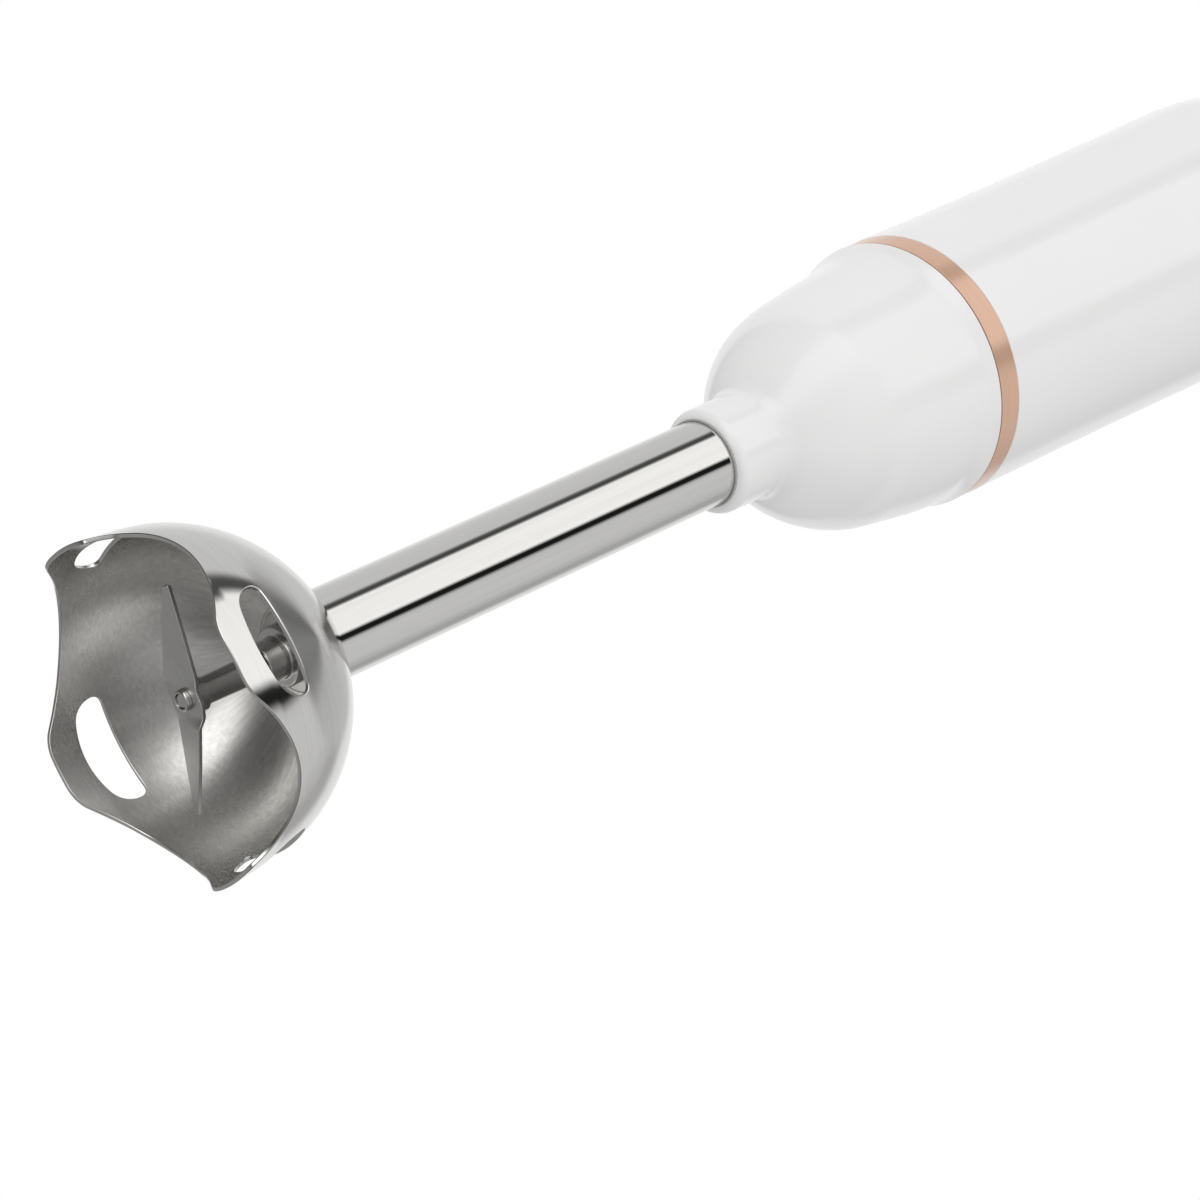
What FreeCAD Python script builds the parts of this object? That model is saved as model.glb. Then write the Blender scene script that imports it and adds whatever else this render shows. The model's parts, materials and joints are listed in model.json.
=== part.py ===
import FreeCAD, Part
import math
import os
import re
import Sketcher

# Immersion blender, millimetres. +Z runs up the blender's axis, the lobe tips of the blade guard
# stand on z = 0, and the buttons face -Y.

Vector = FreeCAD.Vector
Rotation = FreeCAD.Rotation

SIZES = {
    # blade guard: a ball-shaped bell on four lobes
    "guard_radius": 34.2,
    "guard_centre": 6.0,
    "guard_wall": 0.9,
    "guard_flare": 0.6,
    "cut_reach": 50.0,
    "cut_low": -3.0,
    "scallop_rise": 8.0,
    "scallop_radius": 27.0,
    "lobe_corner": 7.0,
    "window_half": 10.9,
    "window_sill": 6.1,
    "window_head": 13.9,
    "window_sill_radius": 24.0,
    "window_corner": 5.0,
    "window_head_corner": 1.8,
    # arm tube and its bearings
    "tube_radius": 9.25,
    "tube_wall": 0.8,
    "tube_foot": 36.8,
    "tube_top": 162.0,
    "fit_gap": 0.02,
    "boss_low": 28.0,
    "boss_step": 33.0,
    "boss_radius": 4.2,
    "boss_step_radius": 6.2,
    "boss_top": 44.0,
    "lower_bush_radius": 3.5,
    "shaft_radius": 2.8,
    "running_gap": 0.05,
    "seal_height": 2.0,
    "carrier_low": 136.0,
    "carrier_top": 150.0,
    "upper_bush_radius": 4.0,
    "seal_ring_radius": 9.7,
    "seal_ring_height": 0.3,
    # blade shaft
    "blade_low": 10.0,
    "blade_thickness": 0.9,
    "blade_tip": 22.7,
    "blade_hub": 4.5,
    "blade_root": 3.2,
    "blade_root_lead": 4.2,
    "blade_root_trail": 3.6,
    "blade_shoulder": 13.0,
    "blade_lead": 2.9,
    "blade_trail": 2.1,
    "blade_point_half": 0.7,
    "pin_radius": 1.5,
    "rivet_radius": 2.2,
    "rivet_low": 8.9,
    "spacer_radius": 3.6,
    "spacer_height": 2.6,
    "clip_radius": 4.5,
    "clip_height": 0.8,
    "shaft_top": 186.0,
    # dome and collar at the top of the arm
    "collar_low": 151.9,
    "collar_radius": 11.5,
    "collar_edge": 1.8,
    "collar_fillet": 8.0,
    "dome_rim": 213.4,
    "dome_centre": 203.0,
    "dome_waist": 0.7,
    "dome_lip_low": 210.4,
    "dome_lip_radius": 29.95,
    "dome_lip_ease": 2.6,
    "dome_radius": 28.3,
    "dome_height": 40.5,
    "dome_wall": 2.4,
    "dome_cavity": 8.6,
    "insert_low": 196.6,
    "insert_top": 212.4,
    "insert_radius": 25.1,
    "insert_floor": 200.0,
    "socket_radius": 21.3,
    "key_half": 2.2,
    "key_reach": 22.7,
    "slide_gap": 0.3,
    # coupling between motor and blade shaft
    "cup_radius": 7.0,
    "cup_low": 176.0,
    "cup_floor": 187.5,
    "cup_top": 199.5,
    "dog_low": 188.2,
    "dog_top": 201.5,
    "dog_length": 5.0,
    "dog_half": 2.1,
    "dog_core": 3.4,
    "dog_collar": 6.5,
    "dog_collar_top": 212.0,
    # stub and ring under the handle
    "spigot_radius": 21.0,
    "spigot_low": 201.5,
    "spigot_bore": 9.0,
    "flange_low": 213.75,
    "flange_radius": 27.85,
    "ring_top": 219.2,
    "ring_radius": 29.85,
    "ring_bore": 27.9,
    "ring_edge": 0.2,
    "spigot_top": 222.5,
    "spigot_step": 27.4,
    "screw_circle": 23.6,
    "screw_radius": 1.5,
    "screw_head": 3.0,
    "screw_head_top": 216.2,
    # handle: barrel, shoulder, grip and cap
    "barrel_low": 219.3,
    "barrel_edge": 0.4,
    "barrel_radius": 30.0,
    "barrel_lower": 262.0,
    "barrel_lower_radius": 30.25,
    "barrel_upper": 303.0,
    "barrel_upper_radius": 30.85,
    "shoulder_low": 326.0,
    "shoulder_start": 31.3,
    "shoulder_radius": 100.0,
    "shoulder_run": 32.0,
    "neck_radius": 50.0,
    "handle_wall": 2.5,
    "grip_top": 408.0,
    "lip_wall": 1.6,
    "lip_length": 5.5,
    "cap_turn": 411.0,
    "cap_flat": 14.9,
    "cap_top": 419.5,
    "dial_radius": 12.8,
    "dial_low": 419.8,
    "dial_top": 424.5,
    "dial_edge": 1.2,
    "groove_radius": 0.55,
    "dial_ring_bore": 13.2,
    "dial_ring_radius": 14.4,
    "dial_ring_top": 420.6,
    "dial_stem": 3.0,
    "stem_low": 405.0,
    "cord_radius": 3.6,
    "gland_radius": 5.2,
    "gland_start": 3.5,
    "gland_end": 11.5,
    # controls
    "panel_half": 9.0,
    "panel_low": 377.0,
    "panel_top": 405.0,
    "panel_gap": 0.15,
    "panel_proud": 0.2,
    "turbo_height": 384.5,
    "power_height": 397.5,
    "button_radius": 4.9,
    "button_face": 25.0,
    "button_edge": 0.6,
    "button_flange": 6.0,
    "flange_front": 19.7,
    "flange_back": 18.6,
    "plunger_radius": 1.2,
    "plunger_end": 13.4,
    "switch_front": 14.5,
    "switch_half": 5.0,
    "switch_pocket": 11.4,
    "board_front": 6.1,
    "board_back": 4.5,
    "board_half": 15.0,
    "board_low": 340.0,
    "board_top": 403.0,
    "capacitor_half": 8.0,
    "capacitor_depth": 5.0,
    "capacitor_low": 344.0,
    "capacitor_top": 362.0,
    "potentiometer_radius": 8.0,
    "cutter_front": 15.0,
    "cutter_back": 30.0,
    "release_height": 236.5,
    "release_half": 7.5,
    "release_rise": 5.5,
    "release_face": 31.6,
    "release_flange": 26.2,
    "release_back": 25.2,
    "release_corner": 4.8,
    "release_depth": 30.0,
    # motor
    "axle_radius": 2.5,
    "axle_low": 203.1,
    "axle_top": 324.0,
    "bearing_radius": 5.0,
    "bracket_low": 224.5,
    "bracket_top": 229.0,
    "bracket_radius": 25.4,
    "bracket_boss": 231.0,
    "rubber_radius": 27.7,
    "notch_half": 5.5,
    "notch_inner": 19.3,
    "fan_low": 232.0,
    "fan_disc": 233.0,
    "fan_top": 239.5,
    "fan_radius": 21.8,
    "fan_hub": 6.0,
    "stack_low": 252.0,
    "stack_top": 286.0,
    "stack_half_x": 22.0,
    "stack_half_y": 26.0,
    "stack_round": 26.8,
    "stack_bore": 14.7,
    "rotor_radius": 14.2,
    "head_radius": 11.5,
    "head_height": 2.4,
    "coil_half": 20.0,
    "coil_inner": 16.2,
    "coil_near": 5.0,
    "coil_far": 12.0,
    "coil_over": 8.0,
    "coil_thick": 5.0,
    "commutator_low": 296.0,
    "commutator_top": 310.0,
    "commutator_radius": 8.5,
    "brush_height": 303.2,
    "brush_half": 2.6,
    "brush_tip": 8.7,
    "brush_back": 17.0,
    "holder_start": 10.5,
    "holder_end": 25.5,
    "holder_half": 4.0,
    "upper_bracket_low": 315.0,
    "upper_bracket_top": 318.5,
    "upper_bracket_radius": 26.5,
    "upper_bracket_boss": 321.0,
    "upper_rubber_radius": 28.5,
    "vent_radius": 4.5,
    "vent_circle": 14.0,
    "upper_vent_radius": 4.0,
    "upper_vent_circle": 16.0,
    "leg_inner": 14.0,
    "leg_outer": 22.0,
    "bearing_height": 5.8,
    "armature_slot_radius": 1.3,
    "armature_slot_depth": 1.2,
    "bar_gap_half": 0.2,
    "vane_half": 0.6,
    # latch
    "leaf_half": 4.0,
    "leaf_inner": 19.6,
    "leaf_thickness": 0.6,
    "leaf_low": 203.5,
    "leaf_top": 242.0,
    "leaf_outer": 24.2,
    "leaf_bend": 2.4,
    "nose_rise": 1.5,
    "nose_flat": 0.4,
    "nose_reach": 22.4,
    "nose_height": 206.4,
}

doc = FreeCAD.newDocument("ImmersionBlender")
sheet = doc.addObject("Spreadsheet::Sheet", "Sizes")
for row, (alias, size) in enumerate(SIZES.items(), start=1):
    sheet.set(f"A{row}", alias)
    sheet.set(f"B{row}", str(size))
    sheet.setAlias(f"B{row}", alias)
doc.recompute()

NODES = []


# ---- helpers -------------------------------------------------------------------------------

def link(text):
    """Turn the size names in a formula into references to the sheet."""
    return re.sub(r"[a-z_]+", lambda word: prefixed(word.group()), str(text))


def prefixed(word):
    return "Sizes." + word if word in SIZES else word


def value(text):
    return float(sheet.evalExpression(link(text)))


def bind(thing, formulas):
    for name, text in formulas.items():
        thing.setExpression(name, link(text))


def node(label, thing):
    """Name a finished sub-part; its label is its file's name."""
    thing.Label = label
    NODES.append(thing)
    return thing


def rod(name, radius, low, high, x="0", y="0"):
    thing = doc.addObject("Part::Cylinder", name)
    bind(thing, {"Radius": radius, "Height": f"({high}) - ({low})", "Placement.Base.x": x,
                 "Placement.Base.y": y, "Placement.Base.z": low})
    return thing


def cross_rod(name, radius, low, high, z):
    """A rod along Y, on the plane x = 0."""
    thing = doc.addObject("Part::Cylinder", name)
    thing.Placement = FreeCAD.Placement(Vector(), Rotation(Vector(1, 0, 0), -90))
    bind(thing, {"Radius": radius, "Height": f"({high}) - ({low})", "Placement.Base.y": low,
                 "Placement.Base.z": z})
    return thing


def block(name, x, y, z):
    """A box between a low and a high limit on each axis."""
    thing = doc.addObject("Part::Box", name)
    for side, axis, (low, high) in (("Length", "x", x), ("Width", "y", y), ("Height", "z", z)):
        bind(thing, {side: f"({high}) - ({low})", "Placement.Base." + axis: low})
    return thing


def fuse(name, *things):
    thing = doc.addObject("Part::MultiFuse", name)
    thing.Shapes = list(things)
    return thing


def common(name, *things):
    thing = doc.addObject("Part::MultiCommon", name)
    thing.Shapes = list(things)
    return thing


def cut(name, base, *tools):
    thing = doc.addObject("Part::Cut", name)
    thing.Base = base
    thing.Tool = tools[0] if len(tools) == 1 else fuse(name + "Tools", *tools)
    return thing


def group(name, *things):
    """Separate identical solids that share one node."""
    thing = doc.addObject("Part::Compound", name)
    thing.Links = list(things)
    return thing


def turned_about_z(thing, degrees):
    """Turn a primitive that was made at the origin's azimuth to another azimuth."""
    spin = FreeCAD.Placement(Vector(), Rotation(Vector(0, 0, 1), degrees))
    thing.Placement = spin.multiply(thing.Placement)
    return thing


def ring_of(name, base, count, start=0.0):
    """Copies of a solid at equal steps about the axis, as one compound."""
    thing = doc.addObject("Part::Feature", name)
    doc.recompute()
    copies = []
    for step in range(count):
        copy = base.Shape.copy()
        copy.rotate(Vector(), Vector(0, 0, 1), start + 360.0 * step / count)
        copies.append(copy)
    thing.Shape = Part.makeCompound(copies)
    return thing


def rounded(name, base, radius, picks):
    """Fillet the edges that picks() chooses from the solid."""
    doc.recompute()
    thing = doc.addObject("Part::Fillet", name)
    thing.Base = base
    edges = [number for number, edge in enumerate(base.Shape.Edges, start=1) if picks(edge)]
    thing.Edges = [(number, value(radius), value(radius)) for number in edges]
    return thing


def arc_between(here, there, radius, turn):
    """The short arc from here to there; it turns left or right on the way."""
    chord = there - here
    middle = (here + there) * 0.5
    rise = math.sqrt(max(radius ** 2 - (chord.Length / 2) ** 2, 0.0))
    left = Vector(-chord.y, chord.x, 0).normalize()
    centre = middle + left * (rise if turn == "left" else -rise)
    first, last = (here, there) if turn == "left" else (there, here)
    start = math.atan2(first.y - centre.y, first.x - centre.x)
    end = math.atan2(last.y - centre.y, last.x - centre.x)
    if end <= start:
        end += 2 * math.pi
    return Part.ArcOfCircle(Part.Circle(centre, Vector(0, 0, 1), radius), start, end)


def outline(sketch, corners):
    """Draw a closed outline; a corner with a radius and a turn starts an arc to the next one."""
    points = [Vector(value(corner[0]), value(corner[1]), 0) for corner in corners]
    ends = []
    for index, corner in enumerate(corners):
        here = points[index]
        there = points[(index + 1) % len(points)]
        if len(corner) == 2:
            ends.append((sketch.addGeometry(Part.LineSegment(here, there)), 1, 2))
            continue
        number = sketch.addGeometry(arc_between(here, there, value(corner[2]), corner[3]))
        ends.append((number, 1, 2) if corner[3] == "left" else (number, 2, 1))
        size = sketch.addConstraint(Sketcher.Constraint("Radius", number, value(corner[2])))
        sketch.setExpression(f"Constraints[{size}]", link(corner[2]))
    for index, (number, start, end) in enumerate(ends):
        follower, first, _ = ends[(index + 1) % len(ends)]
        sketch.addConstraint(Sketcher.Constraint("Coincident", number, end, follower, first))
        pin_down(sketch, number, start, corners[index], points[index])


def pin_down(sketch, number, end, corner, point):
    """Tie one end of an edge to its two formulas."""
    for kind, text, place, axis in (("DistanceX", corner[0], point.x, -2),
                                    ("DistanceY", corner[1], point.y, -1)):
        if abs(place) < 1e-9:
            sketch.addConstraint(Sketcher.Constraint("PointOnObject", number, end, axis))
            continue
        size = sketch.addConstraint(Sketcher.Constraint(kind, -1, 1, number, end, place))
        sketch.setExpression(f"Constraints[{size}]", link(text))


def sketch_on(body, role):
    sketch = body.newObject("Sketcher::SketchObject", body.Name + "Outline")
    plane = next(item for item in body.Origin.OriginFeatures if item.Role == role)
    sketch.AttachmentSupport = [(plane, "")]
    sketch.MapMode = "FlatFace"
    return sketch


def turning(name, corners):
    """A body turned about the axis from an outline of (radius, height) corners."""
    body = doc.addObject("PartDesign::Body", name)
    sketch = sketch_on(body, "XZ_Plane")
    outline(sketch, corners)
    turn = body.newObject("PartDesign::Revolution", name + "Turn")
    turn.Profile = sketch
    turn.ReferenceAxis = (sketch, ["V_Axis"])
    turn.Angle = 360
    return body


def ring(name, bore, radius, low, high):
    return turning(name, [(bore, low), (radius, low), (radius, high), (bore, high)])


def slab(name, role, corners, low, high):
    """A body padded from an outline on an origin plane, between two heights over that plane."""
    body = doc.addObject("PartDesign::Body", name)
    sketch = sketch_on(body, role)
    bind(sketch, {"AttachmentOffset.Base.z": low})
    outline(sketch, corners)
    pad = body.newObject("PartDesign::Pad", name + "Pad")
    pad.Profile = sketch
    bind(pad, {"Length": f"({high}) - ({low})"})
    return body


def stadium(half_width, low, high, radius):
    """Corners of an upright rectangle with round corners, in a plane of constant y."""
    return [
        (f"-({half_width}) + {radius}", low), (f"{half_width} - ({radius})", low, radius, "left"),
        (half_width, f"{low} + {radius}"), (half_width, f"{high} - ({radius})", radius, "left"),
        (f"{half_width} - ({radius})", high), (f"-({half_width}) + {radius}", high, radius, "left"),
        (f"-({half_width})", f"{high} - ({radius})"),
        (f"-({half_width})", f"{low} + {radius}", radius, "left"),
    ]


# ---- blade guard ---------------------------------------------------------------------------

def crown(radius):
    """Height at which a ball of this radius about the guard's centre meets the tube."""
    return f"guard_centre + sqrt(({radius})^2 - tube_radius^2)"


def make_scallop(angle):
    """The cutter for two opposite scallops: one big arc between two round lobe corners."""
    drop = "(scallop_radius + lobe_corner - scallop_rise)"
    reach = f"sqrt((scallop_radius + lobe_corner)^2 - {drop}^2)"
    share = "scallop_radius / (scallop_radius + lobe_corner)"
    meet = f"{reach} * {share}"
    rise = f"scallop_rise - scallop_radius + {drop} * {share}"
    corners = [
        (f"-{reach}", "cut_low"), (reach, "cut_low"),
        (reach, "0", "lobe_corner", "right"), (meet, rise, "scallop_radius", "left"),
        (f"-{meet}", rise, "lobe_corner", "right"), (f"-{reach}", "0"),
    ]
    cutter = slab(f"Scallop{angle}", "XZ_Plane", corners, "-cut_reach", "cut_reach")
    return turned_about_z(cutter, angle)


def make_window(angle):
    """The cutter for two opposite windows: a straight head, a sill parallel to the rim."""
    swing = "window_half - window_corner"
    inner = "window_sill_radius - window_corner"
    centre = f"window_sill + window_sill_radius - sqrt(({inner})^2 - ({swing})^2)"
    meet = f"({swing}) * window_sill_radius / ({inner})"
    sill = f"window_sill + window_sill_radius - sqrt(window_sill_radius^2 - ({meet})^2)"
    head = "window_half - window_head_corner"
    top = "window_head - window_head_corner"
    side = f"min({centre}; {top} - 0.02)"
    corners = [
        (f"-{meet}", sill, "window_sill_radius", "left"), (meet, sill, "window_corner", "left"),
        ("window_half", side), ("window_half", top, "window_head_corner", "left"),
        (head, "window_head"), (f"-({head})", "window_head", "window_head_corner", "left"),
        ("-window_half", top), ("-window_half", side, "window_corner", "left"),
    ]
    cutter = slab(f"Window{angle}", "XZ_Plane", corners, "-cut_reach", "cut_reach")
    return turned_about_z(cutter, angle)


def make_guard():
    inside = "guard_radius - guard_wall"
    bell = turning("Bell", [
        ("guard_radius + guard_flare", "0"), ("guard_radius", "guard_centre", "guard_radius", "left"),
        ("tube_radius + fit_gap", crown("guard_radius")),
        ("tube_radius + fit_gap", crown(inside), inside, "right"),
        (inside, "guard_centre"), (f"{inside} + guard_flare", "0"),
    ])
    cutters = [make_scallop(45), make_scallop(135), make_window(0), make_window(90)]
    node("blade_guard", cut("Guard", bell, *cutters))


# ---- arm tube, bearings and blade shaft ----------------------------------------------------

def make_tube():
    bore = "tube_radius - tube_wall"
    node("arm_tube", ring("Tube", bore, "tube_radius", "tube_foot", "tube_top"))
    node("collar_seal_ring", ring("SealRing", "tube_radius + fit_gap", "seal_ring_radius",
                                  "collar_low - seal_ring_height - fit_gap", "collar_low - fit_gap"))
    node("upper_bearing_carrier", ring("Carrier", "upper_bush_radius + fit_gap",
                                       f"{bore} - running_gap", "carrier_low", "carrier_top"))
    node("upper_bushing", ring("UpperBush", "shaft_radius + running_gap", "upper_bush_radius",
                               "carrier_low", "carrier_top"))
    node("bearing_housing", turning("Boss", [
        ("lower_bush_radius + fit_gap", "boss_low"), ("boss_radius", "boss_low"),
        ("boss_radius", "boss_step"), ("boss_step_radius", "boss_step"),
        ("boss_step_radius", "tube_foot"), (f"{bore} - running_gap", "tube_foot"),
        (f"{bore} - running_gap", "boss_top"), ("lower_bush_radius + fit_gap", "boss_top"),
    ]))
    node("shaft_seal", ring("ShaftSeal", "shaft_radius + running_gap", "lower_bush_radius",
                            "boss_low", "boss_low + seal_height"))
    node("lower_bushing", ring("LowerBush", "shaft_radius + running_gap", "lower_bush_radius",
                               "boss_low + seal_height + fit_gap", "boss_top - 1"))


BLADE_ANGLE = 33.5
WING_DROOP = 2.5
WING_PITCH = 10.0


def wing_turn(half_turn):
    """How a wing lies: it droops towards its tip and tilts along its length."""
    tilt = Rotation(Vector(0, 1, 0), WING_DROOP).multiply(Rotation(Vector(1, 0, 0), WING_PITCH))
    return Rotation(Vector(0, 0, 1), BLADE_ANGLE + half_turn).multiply(tilt)


def make_blade_shaft():
    top = "blade_low + blade_thickness"
    node("drive_shaft", turning("Shaft", [
        ("0", "rivet_low + 0.3"), ("pin_radius", "rivet_low + 0.3"), ("pin_radius", top),
        ("shaft_radius", top), ("shaft_radius", "shaft_top"), ("0", "shaft_top"),
    ]))
    outline_of_wing = [
        ("0", "-blade_root_lead"), ("blade_root", "-blade_root_lead"), ("blade_shoulder", "-blade_lead"),
        ("blade_tip", "-blade_point_half"), ("blade_tip", "blade_point_half"),
        ("blade_shoulder", "blade_trail"), ("blade_root", "blade_root_trail"), ("0", "blade_root_trail"),
    ]
    wings = []
    for side, half_turn in (("Right", 0.0), ("Left", 180.0)):
        wing = slab("Wing" + side, "XY_Plane", outline_of_wing, "0", "blade_thickness")
        wing.Placement.Rotation = wing_turn(half_turn)
        bind(wing, {"Placement.Base.z": "blade_low"})
        wings.append(wing)
    hub = rod("BladeHub", "blade_hub", "blade_low", top)
    hole = rod("BladeHole", "pin_radius + fit_gap", "blade_low - 1", f"{top} + 1")
    above = rod("BladeHeadroom", "blade_hub", top, f"{top} + 2")
    below = rod("BladeFootroom", "blade_hub - 1", "blade_low - 2", "blade_low")
    node("blade", cut("Blade", fuse("BladePlate", hub, *wings), hole, above, below))
    node("blade_rivet", ring("Rivet", "pin_radius + fit_gap", "rivet_radius", "rivet_low",
                             "blade_low - fit_gap"))
    node("blade_spacer", ring("Spacer", "shaft_radius + fit_gap", "spacer_radius",
                              f"{top} + fit_gap", f"{top} + spacer_height"))
    node("retaining_clip", ring("Clip", "shaft_radius + fit_gap", "clip_radius",
                                "carrier_top + slide_gap", "carrier_top + slide_gap + clip_height"))


# ---- dome at the top of the arm ------------------------------------------------------------

def make_dome():
    ball = doc.addObject("Part::Ellipsoid", "DomeBall")
    ball.Angle1 = -90
    ball.Angle2 = 0
    bind(ball, {"Radius1": "dome_height", "Radius2": "dome_radius", "Radius3": "dome_radius",
                "Placement.Base.z": "dome_centre"})
    collar = rod("Collar", "collar_radius", "collar_low", "dome_centre - dome_height * dome_waist")
    skirt = rod("DomeSkirt", "dome_radius", "dome_centre", "dome_rim")
    lip = turning("DomeLip", [
        ("0", "dome_lip_low"), ("dome_radius", "dome_lip_low"),
        ("dome_lip_radius", "dome_lip_low + dome_lip_ease"), ("dome_lip_radius", "dome_rim"),
        ("0", "dome_rim"),
    ])
    body = fuse("DomeBody", ball, collar, skirt, lip)

    def collar_joint(edge):
        box = edge.BoundBox
        return box.ZLength < 0.01 and abs(box.XMax - value("collar_radius")) < 0.05 and \
            box.ZMin > value("collar_low") + 1

    def collar_end(edge):
        box = edge.BoundBox
        return box.ZMax < value("collar_low") + 0.01 and box.XLength > 1

    eased = rounded("DomeNeck", body, "collar_fillet", collar_joint)
    eased = rounded("DomeCollar", eased, "collar_edge", collar_end)
    bore = "tube_radius + fit_gap"
    hollow = turning("DomeHollow", [
        ("0", "collar_low - 1"), (bore, "collar_low - 1"), (bore, "tube_top + fit_gap"),
        ("dome_cavity", "tube_top + fit_gap"), ("dome_cavity", "cup_low"),
        ("insert_radius - 4", "insert_low - fit_gap"),
        ("insert_radius + fit_gap", "insert_low - fit_gap"),
        ("insert_radius + fit_gap", "insert_top + fit_gap"),
        ("dome_radius - dome_wall", "dome_rim + 1"), ("0", "dome_rim + 1"),
    ])
    node("arm_dome", cut("Dome", eased, hollow))
    cup = turning("Insert", [
        ("spigot_bore - 0.8", "insert_low"), ("insert_radius", "insert_low"),
        ("insert_radius", "insert_top"), ("socket_radius", "insert_top"),
        ("socket_radius", "insert_floor"), ("spigot_bore - 0.8", "insert_floor"),
    ])
    slot = block("KeySlot", ("socket_radius - 1", "key_reach + slide_gap"),
                 ("-key_half - slide_gap", "key_half + slide_gap"), ("insert_floor", "insert_top + 1"))
    slots = ring_of("KeySlots", slot, 3, 30)
    pocket = block("LatchPocket", ("-leaf_half - slide_gap", "leaf_half + slide_gap"),
                   ("socket_radius - 1", "nose_reach + 0.6"), ("nose_height - 2", "nose_height + 2"))
    node("adapter_insert", cut("AdapterInsert", cup, slots, pocket))


# ---- coupling between the two shafts -------------------------------------------------------

def dog_shape(name, low, high, gap):
    """A four-toothed dog: two crossed bars on a round core, grown by a gap."""
    length = f"dog_length + {gap}"
    half = f"dog_half + {gap}"
    return fuse(
        name,
        block(name + "BarX", (f"-({length})", length), (f"-({half})", half), (low, high)),
        block(name + "BarY", (f"-({half})", half), (f"-({length})", length), (low, high)),
        rod(name + "Core", f"dog_core + {gap}", low, high))


def make_coupling():
    cup = turning("Cup", [
        ("shaft_radius + fit_gap", "cup_low"), ("cup_radius", "cup_low"), ("cup_radius", "cup_top"),
        ("0", "cup_top"), ("0", "shaft_top + fit_gap"), ("shaft_radius + fit_gap", "shaft_top + fit_gap"),
    ])
    cavity = dog_shape("CupCavity", "cup_floor", "cup_top + 1", "slide_gap")
    node("shaft_coupling", cut("ShaftCoupling", cup, cavity))
    dog = dog_shape("Dog", "dog_low", "dog_top", "0")
    collar = rod("DogCollar", "dog_collar", "dog_top", "dog_collar_top")
    bore = rod("DogBore", "axle_radius + fit_gap", "axle_low - fit_gap", "dog_collar_top + 1")
    node("drive_coupling", cut("DriveCoupling", fuse("DogBody", dog, collar), bore))


# ---- stub, screws, ring and latch under the handle -----------------------------------------

def make_spigot():
    stub = turning("Stub", [
        ("spigot_bore", "spigot_low"), ("spigot_radius", "spigot_low"),
        ("spigot_radius", "flange_low"), ("flange_radius", "flange_low"),
        ("flange_radius", "ring_top - fit_gap"), ("spigot_step", "ring_top - fit_gap"),
        ("spigot_step", "spigot_top"), ("spigot_radius - 2.5", "spigot_top"),
        ("spigot_radius - 2.5", "spigot_low + 2.5"), ("spigot_bore + 2.5", "spigot_low + 2.5"),
        ("spigot_bore + 2.5", "spigot_top"), ("spigot_bore", "spigot_top"),
    ])
    key = block("Key", ("spigot_radius - 1", "key_reach"), ("-key_half", "key_half"),
                ("insert_floor + 3", "flange_low + 1"))
    keys = ring_of("Keys", key, 3, 30)
    hole = rod("ScrewHole", "screw_radius + 0.1", "flange_low - 1", "spigot_top + 1", x="screw_circle")
    seat = rod("ScrewSeat", "screw_head + 0.2", "flange_low - 1", "screw_head_top", x="screw_circle")
    holes = ring_of("ScrewHoles", fuse("ScrewWay", hole, seat), 4, 45)
    channel = block("LeafChannel", ("-leaf_half - slide_gap", "leaf_half + slide_gap"),
                    ("leaf_inner - slide_gap", "spigot_radius + 0.1"), ("spigot_low - 1", "spigot_top + 1"))
    node("coupling_spigot", cut("Spigot", fuse("KeyedStub", stub, keys), holes, channel))
    head = rod("ScrewHead", "screw_head", "flange_low + 0.2", "screw_head_top - fit_gap", x="screw_circle")
    shank = rod("ScrewShank", "screw_radius", "screw_head_top - 1", "bracket_top - 1", x="screw_circle")
    node("spigot_screws", ring_of("Screws", fuse("Screw", head, shank), 4, 45))
    low = "flange_low - 0.03"
    node("accent_ring", turning("AccentRing", [
        ("ring_bore", low), ("ring_radius - ring_edge", low, "ring_edge", "left"),
        ("ring_radius", f"{low} + ring_edge"), ("ring_radius", "ring_top - ring_edge", "ring_edge", "left"),
        ("ring_radius - ring_edge", "ring_top"), ("ring_bore", "ring_top"),
    ]))


def make_latch():
    outer = "leaf_inner + leaf_thickness"
    bend = "bracket_top + 1"
    leaf = [
        ("leaf_inner", "leaf_low"), (outer, "leaf_low"), (outer, "nose_height - nose_rise"),
        ("nose_reach", "nose_height - nose_flat"), ("nose_reach", "nose_height + nose_flat"),
        (outer, "nose_height + nose_rise"), (outer, f"{bend} - nose_flat"),
        ("leaf_outer + leaf_thickness", f"{bend} + leaf_bend"),
        ("leaf_outer + leaf_thickness", "leaf_top"), ("leaf_outer", "leaf_top"),
        ("leaf_outer", f"{bend} + leaf_bend + nose_flat"), ("leaf_inner", bend),
    ]
    node("latch_spring", slab("Leaf", "YZ_Plane", leaf, "-leaf_half", "leaf_half"))
    frame = stadium("release_half - slide_gap", "release_height - release_rise + slide_gap",
                    "release_height + release_rise - slide_gap", "release_corner - slide_gap")
    face = slab("ReleaseFace", "XZ_Plane", frame, "-release_face", "-release_back")
    flange = block("ReleaseFlange", ("-release_half - 1", "release_half + 1"),
                   ("release_back", "release_flange"),
                   ("release_height - release_rise - 1", "release_height + release_rise + 1"))
    shell = rod("ReleaseShell", "release_face", "release_height - release_depth",
                "release_height + release_depth")
    node("release_button", common("ReleaseButton", fuse("ReleaseBody", face, flange), shell))


# ---- handle shell --------------------------------------------------------------------------

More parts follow.
